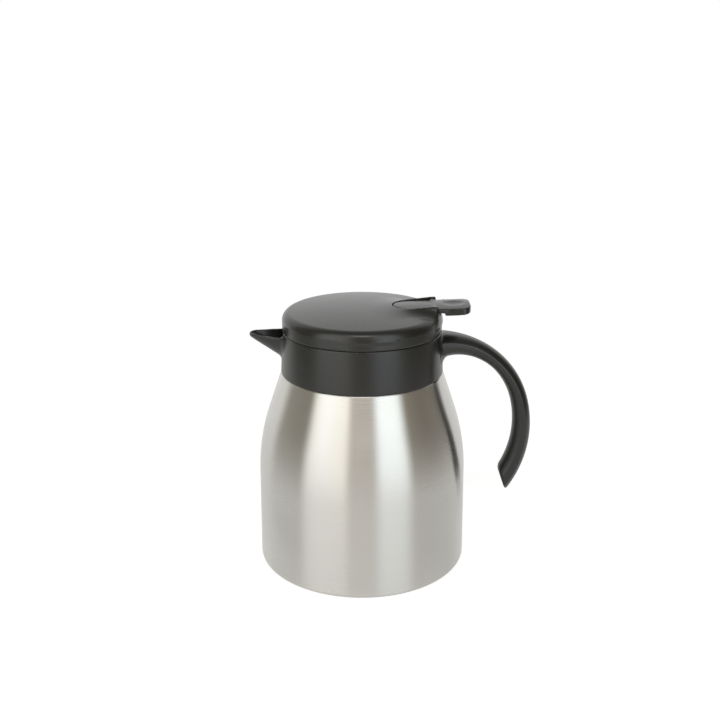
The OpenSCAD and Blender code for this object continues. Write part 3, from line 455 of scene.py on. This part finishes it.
def handle_section(angle):
    """Half width and thickness of the handle at an angle along it, in degrees."""
    flare = (np.clip(angle - FLARE_ANGLE, 0, None) / (ROOT_ANGLE - FLARE_ANGLE)) ** 2
    root = (np.clip(angle - THIN_ANGLE, 0, None) / (ROOT_ANGLE - THIN_ANGLE)) ** 2
    end = (np.clip(THIN_ANGLE - angle, 0, None) / (THIN_ANGLE - END_ANGLE)) ** SWELL
    half = GRIP_HALF + (ROOT_HALF - GRIP_HALF) * flare
    return half, GRIP_T + (ROOT_T - GRIP_T) * root + (END_T - GRIP_T) * end


def handle_form(x, y, z):
    """Distance to the whole handle, and the depth of the seam below its back."""
    bend_a, sweep_a = np.arctan2(z - BEND_Z, x - BEND_X), np.arctan2(z - SWEEP_Z, x - SWEEP_X)
    upper = bend_a > SPLIT
    bend_depth = BEND_R - np.hypot(x - BEND_X, z - BEND_Z)
    depth = np.where(upper, bend_depth, SWEEP_R - np.hypot(x - SWEEP_X, z - SWEEP_Z))
    angle = np.degrees(np.where(upper, bend_a, sweep_a))
    half, thick = handle_section(np.clip(angle, END_ANGLE - SPARE_ANGLE, ROOT_ANGLE + SPARE_ANGLE))
    side_depth = np.maximum(thick / 2, CROWN + COVER_T + SIDE_MIN)
    low = np.maximum(depth - side_depth, 0)
    round_t = thick - side_depth
    k0, k1 = np.hypot(y / half, low / round_t), np.hypot(y / half**2, low / round_t**2)
    belly = np.where(depth > side_depth, k0 * (k0 - 1) / np.maximum(k1, 1e-6), np.abs(y) - half)
    bow = np.abs(y / half)
    fall = CROWN_POWER * CROWN * bow ** (CROWN_POWER - 1) / half
    back = (CROWN * bow**CROWN_POWER - depth) / np.hypot(1, fall)
    form = cut_corner(belly, back, CREASE_R)
    ex, ez = END_OUT[0] - END_IN[0], END_OUT[1] - END_IN[1]
    end = ((x - END_IN[0]) * ez - (z - END_IN[1]) * ex) / math.hypot(ex, ez)
    form = cut_corner(form, np.where(z < END_REACH_Z, end, -2 * END_ROUND), END_ROUND)
    ring = np.maximum(collar_side(x, y, z), z - COLLAR_TOP + ROOT_TOP_GAP)
    fillet = np.interp(z, FILLET_Z, [FILLET_LOW, FILLET_TOP])
    rooted = np.maximum(join(form, ring, fillet), form - FEATHER * fillet)
    rooted = np.maximum(rooted, -(ring + SUNK))
    return np.maximum(rooted, ROOT_START_X - x), CROWN + COVER_T - depth


# %% [markdown]
# The back cover and the frame meet at a seam just under the crease. Two mouldings that butt against
# each other would leave a deep black slit at this grid, so the frame runs on under the cover, set in
# by 0.15 mm. The seam is then the faint line that it is on the real handle.

# %% Handle: frame and cover
SEAM_INSET = 0.15


def frame_field(x, y, z):
    form, seam = handle_form(x, y, z)
    return np.minimum(np.maximum(form, seam), form + SEAM_INSET)


def cover_field(x, y, z):
    form, seam = handle_form(x, y, z)
    return np.maximum(form, -seam)


handle_low, handle_high = (43, -21, 40), (106, 21, 149.5)
moulded("handle_grip", frame_field, handle_low, handle_high, GRID_STEP, "pot", "charcoal_moulding",
        ["handle_frame"])
moulded("handle_back", cover_field, handle_low, handle_high, GRID_STEP, "pot", "charcoal_moulding",
        ["handle_cover"])

# %% [markdown]
# ## Spring and screws
#
# The closing spring is stainless wire wound in six turns, with half a turn lying flat at each end.
# A curve with a bevel would do, but it has to flatten when the valve lifts, which needs a mesh, so
# the tube's rings are written out. The screws are pan heads with a pressed cross.

# %% Spring
WIRE_R, COIL_R, TURNS, FLAT_TURNS, TURN_STEPS, RING = 0.45, 6.5, 6, 0.5, 48, 12
SPRING_LOW, SPRING_TOP, SPRING_SEAT = 124.85, 145.45, 146.0
along_wire = np.linspace(0, TURNS, TURNS * TURN_STEPS + 1)
climb = np.clip((along_wire - FLAT_TURNS) / (TURNS - 2 * FLAT_TURNS), 0, 1)
turn_a, ring_a = 2 * math.pi * along_wire[:, None], np.linspace(0, 2 * math.pi, RING, endpoint=False)
wire_out = COIL_R + WIRE_R * np.cos(ring_a)
wire_z = SPRING_LOW + (SPRING_TOP - SPRING_LOW) * climb[:, None] + WIRE_R * np.sin(ring_a)
wire = np.stack([wire_out * np.cos(turn_a), wire_out * np.sin(turn_a), wire_z], axis=2).reshape(-1, 3)
last = RING * (len(along_wire) - 1)
sides = [(i + k, i + (k + 1) % RING, i + RING + (k + 1) % RING, i + RING + k)
         for i in range(0, last, RING) for k in range(RING)]
caps = [list(range(RING))[::-1], list(range(last, last + RING))]
spring = new_piece("closing_spring", wire, sides + caps, "lid", "spring_steel", ["valve_spring"])
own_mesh(spring)

# %% Screws
PAN_R, PAN_T, SHANK_R, SHANK_START, SHANK_END = 2.75, 1.4, 1.5, 0.5, 8.9
CROSS_W, CROSS_LEN, CROSS_DEEP, CROSS_TAPER = 0.45, 1.7, 0.9, 0.35
PAN_ROUND, SHANK_ROUND = 0.6, 0.4


def screw_field(x, y, z):
    """One screw: its pan head's face at z = 0, its shank going up."""
    r = np.hypot(x, y)
    head = cut_corner(np.maximum(r - PAN_R, z - PAN_T), -z, PAN_ROUND)
    cross = np.minimum(np.maximum(np.abs(x) - CROSS_W, np.abs(y) - CROSS_LEN),
                       np.maximum(np.abs(y) - CROSS_W, np.abs(x) - CROSS_LEN))
    recess = np.maximum(cross + CROSS_TAPER * np.maximum(z, 0), z - CROSS_DEEP)
    shank = cut_corner(r - SHANK_R, z - SHANK_END, SHANK_ROUND)
    return np.maximum(np.minimum(head, np.maximum(shank, SHANK_START - z)), -recess)


screw_verts, screw_quads = surface(screw_field, (-2.8, -2.8, 0), (2.8, 2.8, 9), SCREW_STEP)


def screws(name, places, body, replaced):
    """The same screw at several places; each place is a matrix's columns and a point."""
    verts = np.concatenate([screw_verts @ np.array(axes, float) + point for axes, point in places])
    faces = np.concatenate([screw_quads + i * len(screw_verts) for i in range(len(places))])
    return new_piece(name, verts, faces.tolist(), body, "fastener_steel", replaced)


UPWARD, OUTWARD = ((1, 0, 0), (0, 1, 0), (0, 0, 1)), ((0, 1, 0), (0, 0, 1), (1, 0, 0))
HEAD_FACE_Z, HEAD_FACE_X = 144.5, 45.4
lid_places = [(UPWARD, (BOSS_X * math.cos(a), BOSS_X * math.sin(a), HEAD_FACE_Z))
              for a in np.radians(BOSS_ANGLES)]
handle_places = [(OUTWARD, (HEAD_FACE_X, s * SCREW_Y, SCREW_Z)) for s in (-1, 1)]
screws("lid_screw_set", lid_places, "lid", ["lid_screws"])
screws("handle_screw_pair", handle_places, "pot", ["handle_screws"])

# %% [markdown]
# ## Materials
#
# Colours are written as sRGB hex values, the way a colour card gives them, and one function turns
# them to the linear values that the shader works with. One small helper adds a node. Objects are in
# metres, so a pattern's scale is one over its grain in metres. A scale whose name ends in PER_M
# says how many patches go on a metre.

# %% Colour and node helpers


def linear(hex_colour):
    """An sRGB hex colour as linear red, green, blue and a full alpha."""
    parts = [int(hex_colour[i : i + 2], 16) / 255 for i in (1, 3, 5)]
    return [c / 12.92 if c <= 0.04045 else ((c + 0.055) / 1.055) ** 2.4 for c in parts] + [1.0]


def add(tree, kind, settings=None, links=None):
    """Adds a node. Settings are its properties and unlinked sockets, links are what feeds a socket."""
    node = tree.nodes.new("ShaderNode" + kind)
    for key, value in (settings or {}).items():
        if isinstance(key, str) and key not in node.inputs:
            setattr(node, key, value)
        else:
            node.inputs[key].default_value = value
    for key, socket in (links or {}).items():
        tree.links.new(socket, node.inputs[key])
    return node


def start_material(name, settings):
    """A new material with its shader's constants set; returns it with its tree and shader."""
    made = bpy.data.materials.new(name)
    made.use_nodes = True
    shader = made.node_tree.nodes["Principled BSDF"]
    for key, value in settings.items():
        shader.inputs[key].default_value = value
    return made, made.node_tree, shader


def shades(colour, darker, lighter):
    """A darker and a lighter shade of a hex colour, as linear values."""
    return [[c * k for c in linear(colour)[:3]] + [1.0] for k in (darker, lighter)]


def feed(tree, shader, sources):
    """Links the first output of each node to the shader's socket of that name."""
    for socket, source in sources.items():
        tree.links.new(source.outputs[0], shader.inputs[socket])


finishes = {}

# %% [markdown]
# ## Brushed stainless steel
#
# The body is 18/8 stainless steel, spun under an abrasive belt, so fine lines run round it. They
# smear a reflection upright, across the lines, and keep its sides crisp: the studio's lights show as
# upright bands. The shader does this with anisotropy. Its tangent runs round the axis, and a quarter
# turn sets the smear upright. Real lines are 0.05 to 0.1 mm wide, too fine for this picture, so they
# are drawn 0.7 mm wide on the body and wider on the base and inside, and as roughness and tone more
# than as relief. A weak wide pattern, with patches of about 45 mm, stands for where hands and a
# cloth went.

# %% Steel, brushed or spun
LINE_DRIFT, HANDLED_PER_M, LINE_TONES, LINE_BUMP = 3.0, 22.0, (0.95, 1.03), 0.5


def brushed_steel(name, colour, roughness, anisotropy, line_mm, streak, relief_mm):
    """Stainless steel with lines round the carafe's axis, on walls and on flat discs alike."""
    made, tree, shader = start_material(name, {
        "Metallic": 1.0, "Anisotropic": anisotropy, "Anisotropic Rotation": 0.25})
    place = add(tree, "TexCoord").outputs["Object"]
    across = add(tree, "VectorMath", {"operation": "MULTIPLY", 1: (1, 1, 0)}, {0: place})
    radius = add(tree, "VectorMath", {"operation": "LENGTH"}, {0: across.outputs[0]})
    split = add(tree, "SeparateXYZ", None, {0: place})
    profile = add(tree, "Math", {"operation": "ADD"},
                  {0: split.outputs["Z"], 1: radius.outputs["Value"]})
    lines_at = add(tree, "Math", {"operation": "MULTIPLY", 1: 1 / (line_mm * MM)},
                   {0: profile.outputs[0]})
    drift = add(tree, "VectorMath", {"operation": "SCALE", "Scale": LINE_DRIFT},
                {0: across.outputs[0]})
    drift_xy = add(tree, "SeparateXYZ", None, {0: drift.outputs[0]})
    lines_v = add(tree, "CombineXYZ", None, {"X": drift_xy.outputs["X"], "Y": drift_xy.outputs["Y"],
                                             "Z": lines_at.outputs[0]})
    lines = add(tree, "TexNoise", {"Scale": 1.0, "Detail": 2.0, "Roughness": 0.6},
                {"Vector": lines_v.outputs[0]})
    handled = add(tree, "TexNoise", {"Scale": HANDLED_PER_M, "Detail": 2.0}, {"Vector": place})
    rough = add(tree, "MapRange", {"From Min": 0.25, "From Max": 0.75, "To Min": roughness - streak,
                                   "To Max": roughness + streak}, {"Value": lines.outputs[0]})
    wiped = add(tree, "MapRange", {"From Min": 0.35, "From Max": 0.7, "To Min": -0.01, "To Max": 0.025},
                {"Value": handled.outputs[0]})
    total = add(tree, "Math", {"operation": "ADD"}, {0: rough.outputs[0], 1: wiped.outputs[0]})
    dark, light = shades(colour, *LINE_TONES)
    tone = add(tree, "MixRGB", {1: dark, 2: light}, {"Fac": lines.outputs[0]})
    bump = add(tree, "Bump", {"Strength": LINE_BUMP, "Distance": relief_mm * MM},
               {"Height": lines.outputs[0]})
    tangent = add(tree, "Tangent", {"direction_type": "RADIAL", "axis": "Z"})
    feed(tree, shader, {"Base Color": tone, "Roughness": total, "Normal": bump, "Tangent": tangent})
    return made


finishes["brushed_steel"] = brushed_steel(
    "stainless_18_8_belt_brushed", "#CBC9C4", 0.29, 1.0, 0.7, 0.022, 0.002)
finishes["base_steel"] = brushed_steel(
    "stainless_sheet_pressed_dull", "#BDBAB3", 0.42, 0.5, 1.0, 0.05, 0.02)
finishes["drawn_steel"] = brushed_steel(
    "stainless_vessel_deep_drawn", "#CFCDC8", 0.24, 0.6, 1.4, 0.03, 0.01)
print("brushed finishes:", sorted(finishes))

# %% [markdown]
# ## Small steel parts
#
# Screws, pin, spring and stem are rolled or drawn wire and rod, bright but a little uneven. The
# getter inside the vacuum is sintered powder and dull. One function serves: fine grain moves the
# roughness, broad grain the colour, as handling and oil do.

# %% Small steel parts
BROAD_PER_M, GRAIN_SPREAD, GRAIN_TONES, GRAIN_BUMP = 160.0, 0.07, (0.86, 1.06), 0.6


def plain_steel(name, colour, roughness, grain_mm, relief_mm):
    """Rolled, drawn or sintered steel without a brushing direction."""
    made, tree, shader = start_material(name, {"Metallic": 1.0})
    place = add(tree, "TexCoord").outputs["Object"]
    fine = add(tree, "TexNoise", {"Scale": 1 / (grain_mm * MM), "Detail": 3.0}, {"Vector": place})
    broad = add(tree, "TexNoise", {"Scale": BROAD_PER_M, "Detail": 2.0}, {"Vector": place})
    rough = add(tree, "MapRange",
                {"To Min": roughness - GRAIN_SPREAD, "To Max": roughness + GRAIN_SPREAD},
                {"Value": fine.outputs[0]})
    dark, light = shades(colour, *GRAIN_TONES)
    tone = add(tree, "MixRGB", {1: dark, 2: light}, {"Fac": broad.outputs[0]})
    bump = add(tree, "Bump", {"Strength": GRAIN_BUMP, "Distance": relief_mm * MM},
               {"Height": fine.outputs[0]})
    feed(tree, shader, {"Base Color": tone, "Roughness": rough, "Normal": bump})
    return made


finishes["fastener_steel"] = plain_steel("steel_rolled_nickel_plated", "#C6C4C0", 0.28, 0.4, 0.01)
finishes["spring_steel"] = plain_steel("stainless_wire_drawn", "#C9C8C6", 0.26, 0.3, 0.008)
finishes["getter_steel"] = plain_steel("getter_powder_sintered", "#8F8E8C", 0.62, 0.5, 0.04)
print("steel finishes in all:", sorted(finishes))

# %% [markdown]
# ## Moulded plastics
#
# The collar, handle, lid and lever are charcoal polypropylene from an etched mould. The etching is a
# fine pebble of about 0.1 mm that dulls the plastic, so it looks dark from the front and pale where
# it is seen at a low angle. It is drawn 0.5 mm wide or more here to show at all. Broad, weak
# mottling is the flow of the plastic, and edges are a little smoother and paler, where hands polish
# the etching away. Pointiness, which is high on edges, gives that wear. The stopper is a smooth
# black grade.

# %% Moulded plastics
PLASTIC_IOR, FLOW_PER_M, FLOW_TONES, PEBBLE_SPREAD, PEBBLE_BUMP = 1.52, 45.0, (0.85, 1.15), 0.05, 0.5
WEAR_FROM, WEAR_TO, WEAR_MOST, WEAR_POLISH = 0.53, 0.62, 0.6, -0.12


def moulded_plastic(name, colour, worn, roughness, pebble_mm, relief_mm):
    """Polypropylene with an etched pebble, flow mottling and handled edges."""
    made, tree, shader = start_material(name, {"IOR": PLASTIC_IOR})
    place = add(tree, "TexCoord").outputs["Object"]
    pebble_scale = 1 / (pebble_mm * MM)
    pebble = add(tree, "TexVoronoi", {"feature": "SMOOTH_F1", "Scale": pebble_scale, "Smoothness": 0.6},
                 {"Vector": place})
    fine = add(tree, "TexNoise", {"Scale": pebble_scale, "Detail": 2.0}, {"Vector": place})
    flow = add(tree, "TexNoise",
               {"Scale": FLOW_PER_M, "Detail": 4.0, "Roughness": 0.6, "Distortion": 0.4},
               {"Vector": place})
    edge = add(tree, "NewGeometry")
    wear = add(tree, "MapRange",
               {"From Min": WEAR_FROM, "From Max": WEAR_TO, "To Min": 0.0, "To Max": WEAR_MOST},
               {"Value": edge.outputs["Pointiness"]})
    patchy = add(tree, "Math", {"operation": "MULTIPLY"}, {0: wear.outputs[0], 1: flow.outputs[0]})
    dark, light = shades(colour, *FLOW_TONES)
    mottled = add(tree, "MixRGB", {1: dark, 2: light}, {"Fac": flow.outputs[0]})
    tone = add(tree, "MixRGB", {2: linear(worn)}, {"Fac": patchy.outputs[0], 1: mottled.outputs[0]})
    grain = add(tree, "MapRange",
                {"To Min": roughness - PEBBLE_SPREAD, "To Max": roughness + PEBBLE_SPREAD},
                {"Value": fine.outputs[0]})
    rough = add(tree, "Math", {"operation": "MULTIPLY_ADD", 1: WEAR_POLISH},
                {0: patchy.outputs[0], 2: grain.outputs[0]})
    relief = add(tree, "Math", {"operation": "ADD"},
                 {0: pebble.outputs["Distance"], 1: fine.outputs[0]})
    bump = add(tree, "Bump", {"Strength": PEBBLE_BUMP, "Distance": relief_mm * MM},
               {"Height": relief.outputs[0]})
    feed(tree, shader, {"Base Color": tone, "Roughness": rough, "Normal": bump})
    return made


finishes["charcoal_moulding"] = moulded_plastic(
    "polypropylene_charcoal_etched", "#1C1C19", "#3C3C37", 0.31, 0.55, 0.01)
finishes["lid_moulding"] = moulded_plastic(
    "polypropylene_lid_fine_etched", "#1F1F1B", "#3E3E38", 0.28, 0.5, 0.008)
finishes["black_moulding"] = moulded_plastic(
    "polypropylene_black_smooth", "#1B1B1B", "#3A3A3A", 0.34, 0.8, 0.008)

# %% [markdown]
# ## Silicone
#
# The gaskets are cast silicone: milky, soft to the eye, with a waxy gloss and a little dust. Light
# enters and spreads, which a small subsurface share gives.

# %% Silicone
CLOUD_PER_M, DUST_PER_M = 120.0, 1500.0
silicone, tree, shader = start_material("silicone_gasket_cast", {
    "IOR": 1.41, "Subsurface Weight": 0.25, "Subsurface Scale": 2 * MM})
silicone_at = add(tree, "TexCoord").outputs["Object"]
cloud = add(tree, "TexNoise", {"Scale": CLOUD_PER_M, "Detail": 3.0}, {"Vector": silicone_at})
dust = add(tree, "TexNoise", {"Scale": DUST_PER_M, "Detail": 2.0}, {"Vector": silicone_at})
milk = add(tree, "MixRGB", {1: linear("#D2CFC6"), 2: linear("#E3E1DA")}, {"Fac": cloud.outputs[0]})
dull = add(tree, "MapRange", {"To Min": 0.38, "To Max": 0.58}, {"Value": dust.outputs[0]})
soft_bump = add(tree, "Bump", {"Strength": 0.4, "Distance": 0.01 * MM}, {"Height": dust.outputs[0]})
feed(tree, shader, {"Base Color": milk, "Roughness": dull, "Normal": soft_bump})
finishes["clear_silicone"] = silicone
print("finishes:", len(finishes))

# %% [markdown]
# ## Dressing the pieces
#
# The record says which finish each CAD node has, so the nodes that are shown as they are take it
# from there, and the pieces made above take it from their own slot.

# %% Dress every piece and node


def dress(shown, made):
    """Gives a piece or node one material."""
    shown.data.materials.clear()
    shown.data.materials.append(made)


for part in record["subparts"]:
    dress(nodes[part["node"]], finishes[part["material_slot"]])
for piece in pieces:
    dress(piece, finishes[piece["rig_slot"]])
print("dressed", len(pieces), "pieces and", len(record["subparts"]), "nodes")

# %% [markdown]
# ## Studio
#
# Polished metal shows the room. The room here is written into the world by direction, as a row of
# wall colours round the carafe. Nought is towards the camera and plus is to its right. There are
# pale grey walls behind the carafe, a near neutral soft light at the front left, a slightly cool
# one at the front right, dull walls between and beside them, and a grey ceiling. The camera sees
# plain white. Reflections see the room at its full strength, and other light is a little weaker, so
# that a colour renders about as it is written. A small soft lamp in front, above the camera, gives
# the lid's edge its line and the floor a soft shadow.

# %% World
SOFTBOX, LIGHT_LEVEL = 2.3, 0.7
PANELS = [(-180, "#B8B8B8"), (-122, "#B0B0AE"), (-108, "#67645C"), (-70, "#5E5A50"),
          (-60, "#EFEFEA"), (-48, "#F6F7F7"), (-20, "#EAE7DF"), (-12, "#857C73"),
          (12, "#827A72"), (22, "#ECF3F8"), (48, "#F0F8FA"), (58, "#5F574A"),
          (80, "#4C453A"), (110, "#514C42"), (126, "#A9AAAA"), (180, "#B8B8B8")]
CEILING, CEILING_FROM, CEILING_TO = "#6A6A68", 0.62, 0.98
world = bpy.data.worlds.new("studio")
scene.world = world
world.use_nodes = True
room = world.node_tree
room.nodes.clear()
look = add(room, "SeparateXYZ", None, {0: add(room, "TexCoord").outputs["Generated"]})
forward = add(room, "Math", {"operation": "MULTIPLY", 1: -1.0}, {0: look.outputs["Y"]})
azimuth = add(room, "Math", {"operation": "ARCTAN2"}, {0: look.outputs["X"], 1: forward.outputs[0]})
share = add(room, "MapRange", {"From Min": -math.pi, "From Max": math.pi},
            {"Value": azimuth.outputs[0]})
walls = add(room, "ValToRGB", None, {0: share.outputs[0]})
ramp = walls.color_ramp.elements
while len(ramp) < len(PANELS):
    ramp.new(0.5)
for element, (degrees, colour) in zip(ramp, PANELS):
    element.position = (degrees + 180) / 360
for element, (degrees, colour) in zip(ramp, PANELS):
    element.color = linear(colour)
up = add(room, "MapRange", {"From Min": CEILING_FROM, "From Max": CEILING_TO},
         {"Value": look.outputs["Z"]})
with_ceiling = add(room, "MixRGB", {2: linear(CEILING)},
                   {"Fac": up.outputs[0], 1: walls.outputs[0]})
ray = add(room, "LightPath").outputs
seen = add(room, "Math", {"operation": "MAXIMUM"},
           {0: ray["Is Glossy Ray"], 1: ray["Is Transmission Ray"]})
level = add(room, "MapRange", {"To Min": SOFTBOX * LIGHT_LEVEL, "To Max": SOFTBOX},
            {"Value": seen.outputs[0]})
around = add(room, "Background", None,
             {"Color": with_ceiling.outputs[0], "Strength": level.outputs[0]})
white = add(room, "Background", {"Color": (1, 1, 1, 1), "Strength": 1.0})
shown_world = add(room, "MixShader", None,
                  {0: ray["Is Camera Ray"], 1: around.outputs[0], 2: white.outputs[0]})
add(room, "OutputWorld", None, {"Surface": shown_world.outputs[0]})
print("world: a room of", len(PANELS), "wall colours")

# %% Lamp above
LAMP_PLACE, LAMP_SIZE, LAMP_POWER, LAMP_AIM_Z = (0.0, -0.62, 0.9), 0.35, 4.0, 0.1
lamp_data = bpy.data.lights.new("softbox_above", "AREA")
lamp_data.size = LAMP_SIZE
lamp_data.energy = LAMP_POWER
lamp = bpy.data.objects.new("softbox_above", lamp_data)
lamp.location = LAMP_PLACE
lamp.rotation_euler = (math.atan2(LAMP_PLACE[1], LAMP_PLACE[2] - LAMP_AIM_Z), 0, 0)
scene.collection.objects.link(lamp)
print("lamp at", LAMP_PLACE)

# %% Floor
# The paper's own colour takes the light and the shadow. Where the camera or a reflection sees it, a
# share of plain white is added, so that it reads as the white it is and still keeps its shadow.
# From below it is clear, so that the carafe's underside can be looked at.
PAPER, CAMERA_LIFT, GLOSS_LIFT, PAPER_SIZE = 0.62, 0.72, 0.54, 0.95
FIBRE_PER_M, FIBRE_BUMP, FIBRE_MM = 900.0, 0.1, 0.05
bpy.ops.mesh.primitive_plane_add(size=PAPER_SIZE)
floor = bpy.context.object
floor.name = "studio_floor"
paper = bpy.data.materials.new("paper_sweep")
paper.use_nodes = True
sheet = paper.node_tree
sheet.nodes.clear()
ray = add(sheet, "LightPath").outputs
gloss = add(sheet, "Math", {"operation": "MAXIMUM"},
            {0: ray["Is Glossy Ray"], 1: ray["Is Transmission Ray"]})
gloss_lift = add(sheet, "Math", {"operation": "MULTIPLY", 1: GLOSS_LIFT}, {0: gloss.outputs[0]})
lift = add(sheet, "Math", {"operation": "MULTIPLY_ADD", 1: CAMERA_LIFT},
           {0: ray["Is Camera Ray"], 2: gloss_lift.outputs[0]})
paper_at = add(sheet, "TexCoord").outputs["Object"]
fibre = add(sheet, "TexNoise", {"Scale": FIBRE_PER_M, "Detail": 2.0}, {"Vector": paper_at})
tooth = add(sheet, "Bump", {"Strength": FIBRE_BUMP, "Distance": FIBRE_MM * MM},
            {"Height": fibre.outputs[0]})
matt = add(sheet, "BsdfDiffuse", {"Color": (PAPER, PAPER, PAPER, 1)}, {"Normal": tooth.outputs[0]})
glow = add(sheet, "Emission", {"Color": (1, 1, 1, 1)}, {"Strength": lift.outputs[0]})
paper_look = add(sheet, "AddShader", None, {0: matt.outputs[0], 1: glow.outputs[0]})
below = add(sheet, "NewGeometry").outputs["Backfacing"]
clear = add(sheet, "BsdfTransparent").outputs[0]
one_sided = add(sheet, "MixShader", None, {0: below, 1: paper_look.outputs[0], 2: clear})
add(sheet, "OutputMaterial", None, {"Surface": one_sided.outputs[0]})
floor.data.materials.append(paper)
scene.view_settings.view_transform = "Standard"
print("floor:", PAPER_SIZE, "m of paper")
